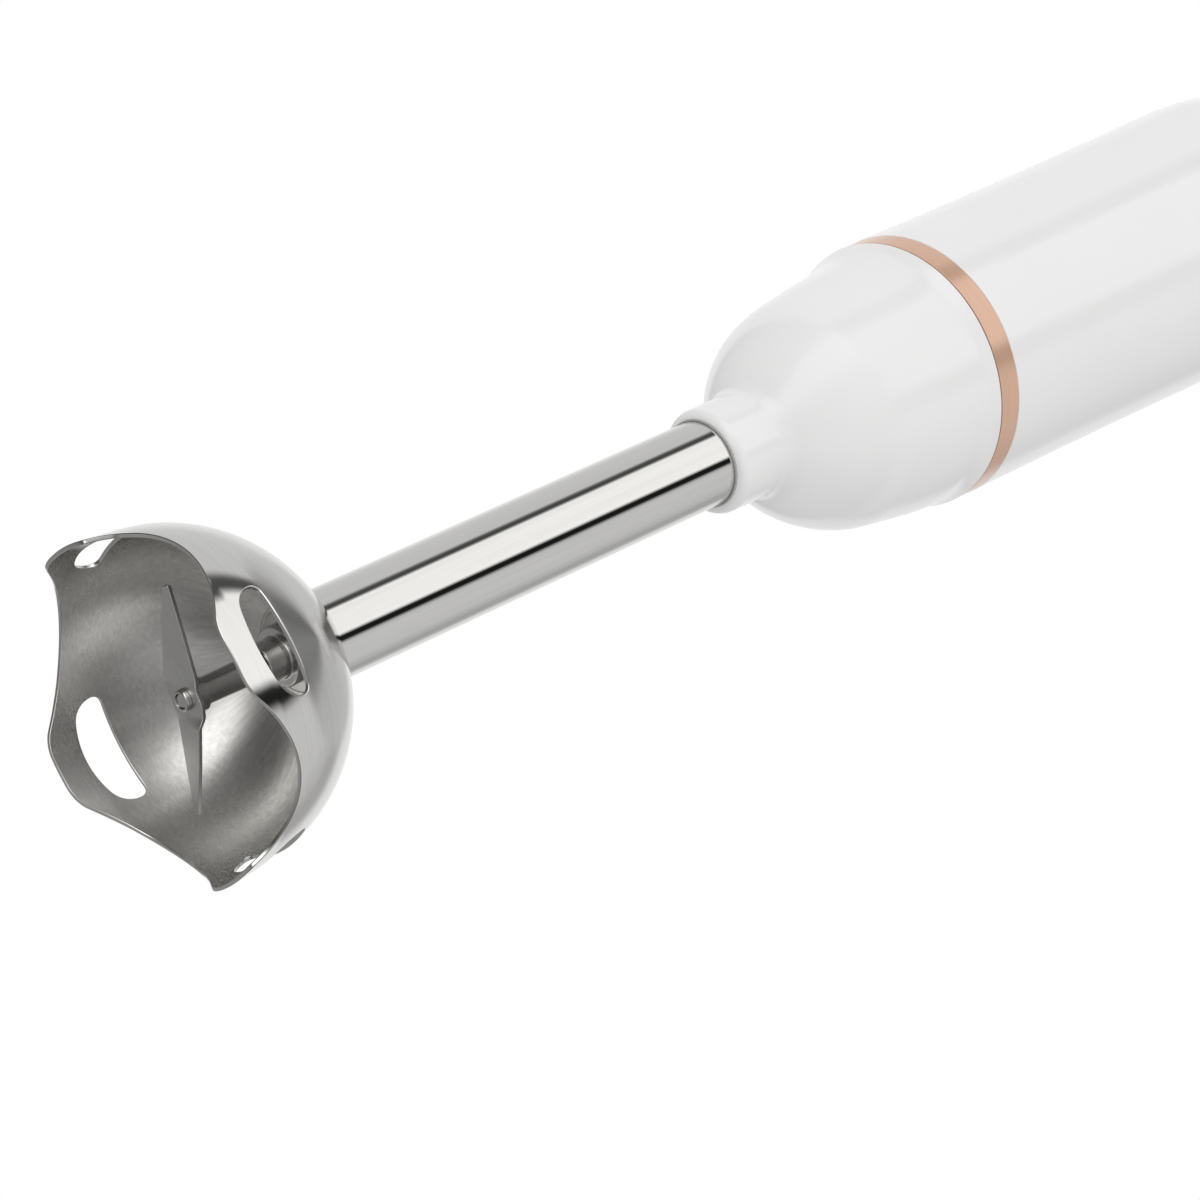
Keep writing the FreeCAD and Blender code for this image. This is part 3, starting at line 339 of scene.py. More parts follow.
class Paint:
    """A procedural material under construction."""

    def __init__(self, name, **sockets):
        self.made = bpy.data.materials.new(name)
        self.made.use_nodes = True
        self.nodes = self.made.node_tree.nodes
        self.links = self.made.node_tree.links
        self.shader = self.nodes["Principled BSDF"]
        self.height = None
        for socket, number in sockets.items():
            self.shader.inputs[socket.replace("_", " ")].default_value = number
        self.coordinates = self.nodes.new("ShaderNodeTexCoord").outputs["Object"]

    def node(self, kind, **settings):
        made = self.nodes.new(kind)
        for name, setting in settings.items():
            setattr(made, name, setting)
        return made

    def math(self, operation, first, second=None):
        made = self.node("ShaderNodeMath", operation=operation)
        for index, source in enumerate((first, second)):
            if source is None:
                continue
            if isinstance(source, (int, float)):
                made.inputs[index].default_value = source
            else:
                self.links.new(source, made.inputs[index])
        return made.outputs[0]

    def around(self, turns, ups, rings=0.0):
        """Coordinates that run slowly round the axis and fast along it, for a spun finish."""
        split = self.node("ShaderNodeSeparateXYZ")
        self.links.new(self.coordinates, split.inputs[0])
        x, y, z = split.outputs
        radius = self.math("SQRT", self.math("ADD", self.math("MULTIPLY", x, x), self.math("MULTIPLY", y, y)))
        join = self.node("ShaderNodeCombineXYZ")
        self.links.new(self.math("MULTIPLY", self.math("DIVIDE", x, radius), turns), join.inputs[0])
        self.links.new(self.math("MULTIPLY", self.math("DIVIDE", y, radius), turns), join.inputs[1])
        along = self.math("MULTIPLY", z, ups)
        if rings:
            along = self.math("ADD", along, self.math("MULTIPLY", radius, rings))
        self.links.new(along, join.inputs[2])
        return join.outputs[0]

    def stretched(self, scale, turn=(0.0, 0.0, 0.0)):
        mapping = self.node("ShaderNodeMapping")
        mapping.inputs["Scale"].default_value = scale
        mapping.inputs["Rotation"].default_value = turn
        self.links.new(self.coordinates, mapping.inputs["Vector"])
        return mapping.outputs[0]

    def noise(self, vector, scale=1.0, detail=4.0, roughness=0.6):
        made = self.node("ShaderNodeTexNoise")
        made.inputs["Scale"].default_value = scale
        made.inputs["Detail"].default_value = detail
        made.inputs["Roughness"].default_value = roughness
        self.links.new(vector, made.inputs["Vector"])
        return made.outputs["Fac"]

    def ramp(self, source, *stops):
        made = self.node("ShaderNodeValToRGB")
        elements = made.color_ramp.elements
        while len(elements) < len(stops):
            elements.new(0.5)
        for element, (place, colour) in zip(elements, stops):
            element.position = place
            element.color = (*colour, 1.0) if isinstance(colour, tuple) else (colour, colour, colour, 1.0)
        self.links.new(source, made.inputs[0])
        return made.outputs[0]

    def ranged(self, source, low, high, from_low=0.0):
        made = self.node("ShaderNodeMapRange")
        made.inputs["From Min"].default_value = from_low
        made.inputs["To Min"].default_value = low
        made.inputs["To Max"].default_value = high
        self.links.new(source, made.inputs["Value"])
        return made.outputs[0]

    def colour(self, source, first, second, low=0.3, high=0.7):
        self.links.new(self.ramp(source, (low, first), (high, second)), self.shader.inputs["Base Color"])
        return self

    def roughness(self, source, low, high):
        self.links.new(self.ranged(source, low, high), self.shader.inputs["Roughness"])
        return self

    def bump(self, source, depth, strength=1.0):
        made = self.node("ShaderNodeBump")
        made.inputs["Strength"].default_value = strength
        made.inputs["Distance"].default_value = depth
        self.links.new(source, made.inputs["Height"])
        if self.height is not None:
            self.links.new(self.height, made.inputs["Normal"])
        self.height = made.outputs[0]
        self.links.new(self.height, self.shader.inputs["Normal"])
        return self

    def spun_grain(self):
        """Let highlights stretch across a grain that runs round the axis."""
        tangent = self.node("ShaderNodeTangent", direction_type="RADIAL", axis="Z")
        self.links.new(tangent.outputs[0], self.shader.inputs["Tangent"])
        return self


STEEL = (0.645, 0.64, 0.625)
STEEL_DARK = (0.60, 0.595, 0.58)


def white_plastic():
    paint = Paint("white_plastic", Specular_IOR_Level=0.35, Coat_Weight=0.12, Coat_Roughness=0.02)
    blotch = paint.noise(paint.coordinates, 35.0, 3.0)
    paint.colour(blotch, (0.815, 0.814, 0.812), (0.832, 0.831, 0.829))
    paint.roughness(paint.noise(paint.coordinates, 160.0, 5.0), 0.06, 0.14)
    return paint.bump(paint.noise(paint.coordinates, 700.0, 2.0), 0.000002).made


def polished_tube():
    paint = Paint("polished_tube", Metallic=1.0)
    hair = paint.noise(paint.stretched((900.0, 900.0, 12.0)), 1.0, 3.0)
    paint.colour(hair, STEEL_DARK, STEEL)
    paint.roughness(paint.noise(paint.coordinates, 60.0, 5.0), 0.02, 0.05)
    return paint.bump(hair, 0.0000012).made


def polished_guard():
    paint = Paint("polished_guard", Metallic=1.0, Anisotropic=0.5, Anisotropic_Rotation=0.25)
    streaks = paint.noise(paint.around(2.0, 1500.0, 600.0), 1.0, 5.0)
    paint.colour(streaks, STEEL_DARK, STEEL)
    paint.roughness(paint.noise(paint.coordinates, 70.0, 5.0), 0.07, 0.13)
    return paint.spun_grain().bump(streaks, 0.000001).made


def brushed_guard():
    paint = Paint("brushed_guard", Metallic=1.0, Anisotropic=0.9, Anisotropic_Rotation=0.25)
    fine = paint.noise(paint.around(24.0, 2600.0, 1900.0), 1.0, 5.0, 0.7)
    broad = paint.noise(paint.around(6.0, 1400.0, 900.0), 1.0, 4.0)
    paint.colour(fine, (0.52, 0.515, 0.50), (0.70, 0.69, 0.67), 0.3, 0.7)
    paint.roughness(broad, 0.24, 0.29)
    return paint.spun_grain().bump(fine, 0.0000012).made


def turned_steel():
    paint = Paint("turned_steel", Metallic=1.0, Anisotropic=0.5, Anisotropic_Rotation=0.25)
    rings = paint.noise(paint.around(1.0, 4000.0, 4000.0), 1.0, 3.0)
    paint.colour(rings, (0.52, 0.515, 0.50), (0.62, 0.61, 0.60))
    paint.roughness(rings, 0.10, 0.22)
    return paint.spun_grain().bump(rings, 0.000002).made


def ground_blade(turn):
    paint = Paint("ground_blade", Metallic=1.0, Anisotropic=0.5)
    grain = paint.noise(paint.stretched((60.0, 2500.0, 2500.0), (0.0, 0.0, -turn)), 1.0, 5.0)
    paint.colour(grain, (0.52, 0.515, 0.505), (0.60, 0.595, 0.585))
    paint.roughness(grain, 0.30, 0.42)
    return paint.bump(grain, 0.000003).made


def rose_copper():
    paint = Paint("rose_copper", Metallic=0.25, Anisotropic=0.3, Anisotropic_Rotation=0.25)
    grain = paint.noise(paint.around(2.0, 1600.0, 800.0), 1.0, 4.0)
    paint.colour(grain, (0.64, 0.40, 0.285), (0.68, 0.43, 0.31))
    paint.roughness(grain, 0.14, 0.24)
    return paint.spun_grain().bump(grain, 0.0000015).made


def moulded(name, dark, light, roughness, grain=900.0, depth=0.00001):
    """Moulded plastic or rubber with a fine grain."""
    paint = Paint(name)
    paint.colour(paint.noise(paint.coordinates, 60.0, 4.0), dark, light)
    texture = paint.noise(paint.coordinates, grain, 3.0)
    paint.roughness(texture, roughness - 0.06, roughness + 0.06)
    return paint.bump(texture, depth).made


def metal(name, dark, light, roughness, grain):
    """Plain metal with a fine speckle."""
    paint = Paint(name, Metallic=1.0)
    speckle = paint.noise(paint.coordinates, grain, 5.0, 0.7)
    paint.colour(speckle, dark, light)
    paint.roughness(speckle, roughness - 0.08, roughness + 0.10)
    return paint.bump(speckle, 0.000004).made


def layered(name, dark, light, layers, roughness):
    """Metal in thin level layers, like stacked sheets or wound wire."""
    paint = Paint(name, Metallic=0.9)
    split = paint.node("ShaderNodeSeparateXYZ")
    paint.links.new(paint.coordinates, split.inputs[0])
    wave = paint.math("SINE", paint.math("MULTIPLY", split.outputs[2], layers * FULL_TURN))
    rows = paint.ranged(wave, 0.0, 1.0, -1.0)
    paint.colour(rows, dark, light, 0.1, 0.8)
    paint.roughness(paint.noise(paint.coordinates, 400.0, 4.0), roughness - 0.08, roughness + 0.08)
    return paint.bump(rows, 0.00008).made


def paint_carried_nodes(paints):
    """Give every CAD node the paint of its material slot."""
    slots = {part["node"]: part["material_slot"] for part in frame["record"]["subparts"]}
    for thing in bpy.data.objects:
        paint = paints.get(slots.get(thing.name))
        if thing.type != "MESH" or paint is None:
            continue
        for place in thing.material_slots:
            place.material = paint


# ---- blade guard ---------------------------------------------------------------------------

GUARD_FLARE = 0.6
GUARD_GAP = 0.05  # kept inside the CAD's box, and between the crown and the tube
GUARD_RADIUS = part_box("blade_guard")[1].x / MM - GUARD_FLARE - GUARD_GAP
TUBE_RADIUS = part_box("arm_tube")[1].x / MM
GUARD_WALL, GUARD_EDGE, GUARD_SPACING = 0.9, 0.2, 1.2
GUARD_CENTRE = 6.0
SCALLOP_RISE, SCALLOP_RADIUS, LOBE_CORNER = 8.0, 27.0, 7.0
SILL, HEAD, WINDOW_HALF = 6.1, 13.9, 10.9
SILL_RADIUS, SILL_CORNER, HEAD_CORNER = 24.0, 5.0, 1.8
WINDOW_SPACING = 0.5
QUARTERS = (0, 90, 180, 270)


def on_guard(across, up, depth):
    """A point on the guard: a ball above its equator and a slightly flared wall under it."""
    azimuth = across / GUARD_RADIUS
    latitude = max(up, 0.0) / GUARD_RADIUS
    radius = (GUARD_RADIUS - depth) * math.cos(latitude) - min(up, 0.0) * GUARD_FLARE / GUARD_CENTRE
    height = GUARD_CENTRE + (GUARD_RADIUS - depth) * math.sin(latitude) + min(up, 0.0)
    return radius * math.cos(azimuth), radius * math.sin(azimuth), height


def unrolled(sideways, height):
    """Where a point of the guard's front view lies, in distances along its surface."""
    rise = height - GUARD_CENTRE
    latitude = math.asin(rise / GUARD_RADIUS) if rise > 0 else 0.0
    azimuth = math.asin(sideways / (GUARD_RADIUS * math.cos(latitude)))
    return GUARD_RADIUS * azimuth, GUARD_RADIUS * latitude if rise > 0 else rise


def rim_height(azimuth):
    """Height of the rim at an azimuth from a lobe: one arc per scallop between round lobes."""
    sideways = GUARD_RADIUS * math.sin(math.pi / 4 - abs(azimuth))
    drop = SCALLOP_RADIUS + LOBE_CORNER - SCALLOP_RISE
    reach = math.sqrt((SCALLOP_RADIUS + LOBE_CORNER) ** 2 - drop ** 2)
    if sideways >= reach:
        return 0.0
    if sideways > reach * SCALLOP_RADIUS / (SCALLOP_RADIUS + LOBE_CORNER):
        return LOBE_CORNER - math.sqrt(LOBE_CORNER ** 2 - (reach - sideways) ** 2)
    return SCALLOP_RISE - SCALLOP_RADIUS + math.sqrt(SCALLOP_RADIUS ** 2 - sideways ** 2)


def guard_window():
    """The window's outline in the front view, clockwise: the material lies on its left."""
    inner = SILL_RADIUS - SILL_CORNER
    swing = WINDOW_HALF - SILL_CORNER
    centre = SILL + SILL_RADIUS - math.sqrt(inner ** 2 - swing ** 2)
    side = min(centre, HEAD - HEAD_CORNER - 0.02)
    spread = math.degrees(math.asin(swing / inner))
    right = arc((0.0, SILL + SILL_RADIUS), SILL_RADIUS, -90, -90 + spread, 20)
    right += arc((swing, side), SILL_CORNER, -90 + spread, 0, 14)[1:]
    right += arc((WINDOW_HALF - HEAD_CORNER, HEAD - HEAD_CORNER), HEAD_CORNER, 0, 90, 8)
    left = [(-x, y) for x, y in reversed(right[1:])]
    loop = divided(right + left, WINDOW_SPACING)
    return [unrolled(x, y) for x, y in reversed(loop)]


def make_guard(outside, inner_side):
    crown = GUARD_RADIUS * math.acos((TUBE_RADIUS + GUARD_GAP + GUARD_EDGE) / GUARD_RADIUS)
    quarter = math.pi / 4
    steps = 160
    azimuths = [-quarter + 2 * quarter * step / steps for step in range(steps + 1)]
    rim = [unrolled(0.0, rim_height(azimuth)) for azimuth in azimuths]
    rim = [(GUARD_RADIUS * azimuth, up) for azimuth, (_, up) in zip(azimuths, rim)]
    rim = inset(rim, GUARD_EDGE, closed=False)
    top = [(GUARD_RADIUS * azimuth, crown) for azimuth in reversed(azimuths[::2])]
    edge = GUARD_RADIUS * quarter
    rim[0] = (-edge, rim[0][1])
    rim[-1] = (edge, rim[-1][1])
    side = divided([rim[-1], (edge, crown)], GUARD_SPACING, closed=False)[1:-1]
    other = [(-x, y) for x, y in reversed(side)]
    window = inset(guard_window(), GUARD_EDGE)
    parts = shell(on_guard, GUARD_WALL, rim + side + top + other, [window],
                  [(rim, False), (top, False), (window, True)], GUARD_SPACING, GUARD_EDGE, QUARTERS)
    add_piece("guard_bell", parts, "blending_arm", ["blade_guard"], "guard_steel", outside, inner_side)


# ---- arm -----------------------------------------------------------------------------------

FIT = 0.02  # play between two pieces that sit on each other
TUBE_WALL = 0.8
BOSS_BORE, BOSS_NOSE, BOSS_STEP, BOSS_BASE = 3.52, 4.2, 6.2, 8.4
NOSE_TOP, STEP_TOP, BOSS_TOP = 33.0, 36.8, 44.0
COLLAR_RADIUS, COLLAR_EDGE, COLLAR_TOP = 11.5, 1.9, 163.4
NECK_CENTRE, NECK_BEND = (16.5, 163.41), 5.0
SHOULDER_CENTRE, SHOULDER_BEND = (-4.6, 192.58), 31.0
BODY_CENTRE, BODY_BEND = (-290.43, 235.3), 320.0
SHOULDER_START, BODY_START, BODY_END = -54.1, -8.5, -5.1  # where one arc meets the next, in degrees
FLARE_PULL, FLARE_END, LIP_PULL = (28.45, 209.6), (29.2, 211.4), (29.7, 212.6)
LIP_RADIUS, LIP_EDGE = 29.95, 0.2
MOUTH_RADIUS, SOCKET_RADIUS, SOCKET_TOP, SOCKET_FLOOR = 25.9, 25.12, 212.42, 196.58
CONE_RADIUS, WELL_RADIUS, WELL_TOP, WELL_FLOOR = 21.1, 8.6, 176.0, 162.02
LEAN_STOPS = [(150.0, 0.15), (176.0, 0.2), (188.0, 0.55), (204.0, 0.7), (213.4, 0.0)]
LEAN_DEPTH = 1.5  # the lean fades in over this distance from the bore


def make_arm(tube_paint, white, steel, seal):
    low, high = (corner.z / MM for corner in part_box("arm_tube"))
    bore = TUBE_RADIUS - TUBE_WALL
    tube = eased([(bore, low, 0.1), (TUBE_RADIUS, low, 0.1), (TUBE_RADIUS, high, 0.1), (bore, high, 0.1)])
    add_piece("tube_shell", turned(tube, 256), "blending_arm", ["arm_tube"], "tube_steel", tube_paint)

    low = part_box("bearing_housing")[0].z / MM
    boss = eased([(BOSS_BORE, low, 0.1), (BOSS_NOSE, low, 0.3), (BOSS_NOSE, NOSE_TOP, 0.4),
                  (BOSS_STEP, NOSE_TOP, 0.5), (BOSS_STEP, STEP_TOP, 0.1), (BOSS_BASE, STEP_TOP, 0.1),
                  (BOSS_BASE, BOSS_TOP, 0.1), (BOSS_BORE, BOSS_TOP, 0.1)])
    add_piece("bearing_boss", turned(boss), "blending_arm", ["bearing_housing"], "turned_steel", steel)
    make_dome(white, seal)


def bent(start, middle, end, steps):
    """Points on the curve that leaves the start towards the middle and arrives at the end from it."""
    result = []
    for step in range(steps + 1):
        share = step / steps
        first = Vector(start).lerp(Vector(middle), share)
        result.append(tuple(first.lerp(Vector(middle).lerp(Vector(end), share), share)))
    return result


def sideways_drift(height):
    """The dome was moulded a little off the tube's axis: how far, towards +X."""
    for (low, before), (high, after) in zip(LEAN_STOPS, LEAN_STOPS[1:]):
        if height <= high:
            share = max(0.0, (height - low) / (high - low))
            return before + (after - before) * share * share * (3 - 2 * share)
    return LEAN_STOPS[-1][1]


def make_dome(white, seal):
    """Collar, neck, shoulder, body and flared lip of the dome as one outline, and its hollow."""
    low, high = (corner.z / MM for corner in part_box("arm_dome"))
    bore = TUBE_RADIUS + FIT
    top = high - LIP_EDGE
    outer = eased([(bore, low, 0.2), (COLLAR_RADIUS, low, COLLAR_EDGE), (COLLAR_RADIUS, 160.0),
                   (COLLAR_RADIUS, COLLAR_TOP)], 8)[:-2]
    wall = [(COLLAR_RADIUS, low + COLLAR_EDGE), (COLLAR_RADIUS, COLLAR_TOP)]
    outer += divided(wall, 2.0, closed=False)[1:-1]
    outer += arc(NECK_CENTRE, NECK_BEND, 180, 180 + SHOULDER_START, 12)
    outer += arc(SHOULDER_CENTRE, SHOULDER_BEND, SHOULDER_START, BODY_START, 40)[1:]
    outer += arc(BODY_CENTRE, BODY_BEND, BODY_START, BODY_END, 12)[1:]
    outer += bent(outer[-1], FLARE_PULL, FLARE_END, 8)[1:]
    outer += bent(outer[-1], LIP_PULL, (LIP_RADIUS, top), 6)[1:]
    outer += arc((LIP_RADIUS - LIP_EDGE, top), LIP_EDGE, 0, 90, 4)[1:]
    hollow = eased([(MOUTH_RADIUS, high, 0.2), (SOCKET_RADIUS, SOCKET_TOP), (SOCKET_RADIUS, SOCKET_FLOOR),
                    (CONE_RADIUS, SOCKET_FLOOR), (WELL_RADIUS, WELL_TOP), (WELL_RADIUS, WELL_FLOOR),
                    (bore, WELL_FLOOR), (bore, low + 0.5)])
    lean = [sideways_drift(height) * min(1.0, max(0.0, (radius - bore) / LEAN_DEPTH))
            for radius, height in outer]
    lean += [0.0] * len(hollow)
    add_piece("dome_shell", turned(outer + hollow, 256, lean), "blending_arm", ["arm_dome"], "white_gloss",
              white)
    low, high = (corner.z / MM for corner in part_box("collar_seal_ring"))
    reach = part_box("collar_seal_ring")[1].x / MM
    ring = eased([(bore, low, 0.05), (reach, low, 0.1), (reach, high, 0.1), (bore, high, 0.05)], 4)
    add_piece("collar_seal", turned(ring, 160), "blending_arm", ["collar_seal_ring"], "seal_grey", seal)


# ---- blade and its shaft -------------------------------------------------------------------

BLADE_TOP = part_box("blade_spacer")[0].z / MM - FIT
BLADE_TURN = math.radians(33.5)
BLADE_PITCH, BLADE_DROOP = math.radians(10.0), math.radians(2.5)
BLADE_WALL, BLADE_EDGE, BLADE_SPACING, BLADE_HOLE = 0.9, 0.22, 0.8, 1.55
HUB_HALF, HUB_EASE = 2.6, 2.4  # the wings start to tilt here, and tilt fully this much further out
WING = [  # half of the blade's outline: along, across, rounding
    (0.0, -4.75), (2.5, -4.7), (4.2, -4.45), (5.2, -4.15), (13.0, -2.93, 4.0), (23.2, -0.75, 0.35),
    (23.3, 0.7, 0.35), (14.0, 2.08, 4.0), (6.3, 3.1, 6.0), (2.6, 3.6), (1.2, 4.1),
]
STUB_RADIUS, RIVET_RADIUS, SPACER_RADIUS = 1.5, 2.2, 3.6


def on_blade(along, across, depth):
    """A point of the blade: a flat hub between two wings that droop and tilt opposite ways."""
    low = BLADE_TOP - depth
    share = min(1.0, max(0.0, (abs(along) - HUB_HALF) / HUB_EASE))
    share *= share * (3 - 2 * share)
    height = low - share * abs(along) * math.tan(BLADE_DROOP)
    height += share * math.copysign(across, along * across) * math.tan(BLADE_PITCH)
    x = along * math.cos(BLADE_TURN) - across * math.sin(BLADE_TURN)
    y = along * math.sin(BLADE_TURN) + across * math.cos(BLADE_TURN)
    return x, y, height


def make_blade(ground, steel):
    outline = WING + [(-corner[0], -corner[1], *corner[2:]) for corner in WING]
    outline = inset(divided(eased(outline, 6), BLADE_SPACING), BLADE_EDGE)
    hole = [(x, -y) for x, y in arc((0.0, 0.0), BLADE_HOLE + BLADE_EDGE, 0, 360, 40)[:-1]]
    parts = shell(on_blade, BLADE_WALL, outline, [hole], [(outline, True), (hole, True)], BLADE_SPACING,
                  BLADE_EDGE)
    add_piece("winged_blade", parts, "blade_shaft", ["blade"], "blade_steel", ground, ground)

    low, high = (corner.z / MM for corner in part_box("drive_shaft"))
    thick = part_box("drive_shaft")[1].x / MM
    shaft = eased([(0.0, low), (STUB_RADIUS, low, 0.3), (STUB_RADIUS, BLADE_TOP), (thick, BLADE_TOP, 0.1),
                   (thick, high, 0.3), (0.0, high)])
    add_piece("shaft_rod", turned(shaft, 96), "blade_shaft", ["drive_shaft"], "turned_steel", steel)
    low, high = (corner.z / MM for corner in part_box("blade_rivet"))
    bore = STUB_RADIUS + FIT
    rivet = eased([(bore, low, 0.1), (RIVET_RADIUS, low, 0.45), (RIVET_RADIUS, high, 0.1), (bore, high, 0.1)])
    add_piece("rivet_head", turned(rivet, 96), "blade_shaft", ["blade_rivet"], "turned_steel", steel)
    low, high = (corner.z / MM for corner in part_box("blade_spacer"))
    bore = thick + FIT
    spacer = eased([(bore, low, 0.1), (SPACER_RADIUS, low, 0.2), (SPACER_RADIUS, high, 0.3),
                    (bore, high, 0.1)])
    add_piece("spacer_bush", turned(spacer, 96), "blade_shaft", ["blade_spacer"], "turned_steel", steel)


# ---- handle --------------------------------------------------------------------------------

GRIP_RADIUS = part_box("grip_housing")[1].x / MM
BARREL_STOPS = [(219.3, 30.0), (262.0, 30.25), (303.0, 30.85), (326.0, 31.3)]  # height, radius
WIDEST_HEIGHT, WIDEST_RADIUS = BARREL_STOPS[-1]
OUTER_BEND, OUTER_RUN, INNER_BEND, BARREL_TOP = 100.0, 32.0, 50.0, 374.0
BARREL_WALL, BARREL_SPACING, BARREL_EDGE = 2.4, 2.2, 0.35
BAND_BORE, BAND_LOW, BAND_HIGH = 27.92, 29.88, 29.92
BACK = 90.0  # azimuth of the release button, in degrees
CAP_REACH, CAP_DIP, CAP_EDGE, CAP_DEPTH, CAP_SPACING = 31.4, 0.5, 0.6, 3.8, 0.8
CAP_HALF, CAP_RISE, CAP_CORNER = 7.0, 5.0, 4.4
OPENING_HALF, OPENING_RISE, OPENING_CORNER = 7.5, 5.5, 4.8


def barrel_profile(height):
    """Radius and slope of the handle's barrel, shoulder and neck."""
    if height < WIDEST_HEIGHT:
        stops = BARREL_STOPS
        low = max(index for index in range(3) if height >= stops[index][0] or index == 0)
        (z0, r0), (z1, r1) = stops[low], stops[low + 1]
        before = (r0 - stops[low - 1][1]) / (z0 - stops[low - 1][0]) if low else 0.002
        after = (stops[low + 2][1] - r1) / (stops[low + 2][0] - z1) if low < 2 else 0.0
        chord = (r1 - r0) / (z1 - z0)
        start, end = 0.5 * (before + chord), 0.5 * (chord + after) if low < 2 else 0.0
        run, share = z1 - z0, (height - z0) / (z1 - z0)
        radius = (r0 * (1 + 2 * share) * (1 - share) ** 2 + start * run * share * (1 - share) ** 2
                  + r1 * share ** 2 * (3 - 2 * share) - end * run * share ** 2 * (1 - share))
        slope = ((r1 - r0) / run * 6 * share * (1 - share) + start * (1 - share) * (1 - 3 * share)
                 + end * share * (3 * share - 2))
        return radius, slope
    rise = height - WIDEST_HEIGHT
    if rise < OUTER_RUN:
        drop = math.sqrt(OUTER_BEND ** 2 - rise ** 2)
        return WIDEST_RADIUS - OUTER_BEND + drop, -rise / drop
    rise = BARREL_TOP - height
    drop = math.sqrt(INNER_BEND ** 2 - rise ** 2)
    return GRIP_RADIUS + INNER_BEND - drop, -rise / drop


def make_handle(white, copper, soft):
    """The copper band, the barrel with its opening, and the release button with a dip for the thumb."""
    low, high = (corner.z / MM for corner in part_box("accent_ring"))
    ring = eased([(BAND_BORE, low, 0.1), (BAND_LOW, low, 0.1), (BAND_HIGH, high, 0.12),
                  (BAND_BORE, high, 0.1)], 6)
    add_piece("copper_band", turned(ring, 256), "motor_unit", ["accent_ring"], "copper_ring", copper)

    low, high = (corner.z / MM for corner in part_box("barrel_housing"))
    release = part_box("release_button")
    middle = 0.5 * (release[0].z + release[1].z) / MM
    opening = stadium(OPENING_HALF, middle - OPENING_RISE, middle + OPENING_RISE, OPENING_CORNER)
    barrel = around_axis(barrel_profile, BARREL_WALL, low, BARREL_TOP, BACK, [opening], BARREL_SPACING,
                         BARREL_EDGE)
    add_piece("barrel_shell", barrel, "motor_unit", ["barrel_housing"], "white_gloss", white)
    button = stadium(CAP_HALF, middle - CAP_RISE, middle + CAP_RISE, CAP_CORNER, 0.5)
    button = [(-x, y) for x, y in button]

    def on_button(across, up, depth):
        dip = CAP_DIP * math.exp(-((up - middle) / 3.5) ** 2) * math.exp(-(across / 6.0) ** 2)
        reach = CAP_REACH - dip - depth
        azimuth = math.pi / 2 + across / CAP_REACH
        return reach * math.cos(azimuth), reach * math.sin(azimuth), up

    outline = inset(button, CAP_EDGE)
    cap = shell(on_button, CAP_DEPTH, outline, [], [(outline, True)], CAP_SPACING, CAP_EDGE)
    add_piece("release_cap", cap, "release_key", ["release_button"], "soft_grey", soft, soft)


# ---- studio --------------------------------------------------------------------------------

CAMERA_PLACE = (55.25, -616.42, -404.99)
CAMERA_RIGHT, CAMERA_AHEAD = (0.4662, -0.5497, 0.6932), (-0.0482, 0.7666, 0.6403)
CAMERA_LENS = 120.0
LOW_EDGE, HIGH_EDGE = (10.0, 18.0), (55.0, 62.0)  # elevations over which one band gives way to the next
DIFFUSE_SHARE, DIFFUSE_BRIGHT = 0.8, 0.93  # how far diffuse rays see the bands evened, and to what
FLOOR_HALF, FLOOR_DROP = 3.0, 0.0004
FADE_START, FADE_END = 0.35, 1.6


def make_camera():
    right = Vector(CAMERA_RIGHT).normalized()
    ahead = Vector(CAMERA_AHEAD)
    down = ahead.cross(right).normalized()
    ahead = right.cross(down).normalized()
    turn = Matrix((right, -down, -ahead)).transposed()
    data = bpy.data.cameras.new("camera")
    data.lens = CAMERA_LENS
    data.clip_start = 0.01
    camera = bpy.data.objects.new("camera", data)
    camera.matrix_world = Matrix.Translation(Vector(CAMERA_PLACE) * MM) @ turn.to_4x4()
    bpy.context.scene.collection.objects.link(camera)
    bpy.context.scene.camera = camera


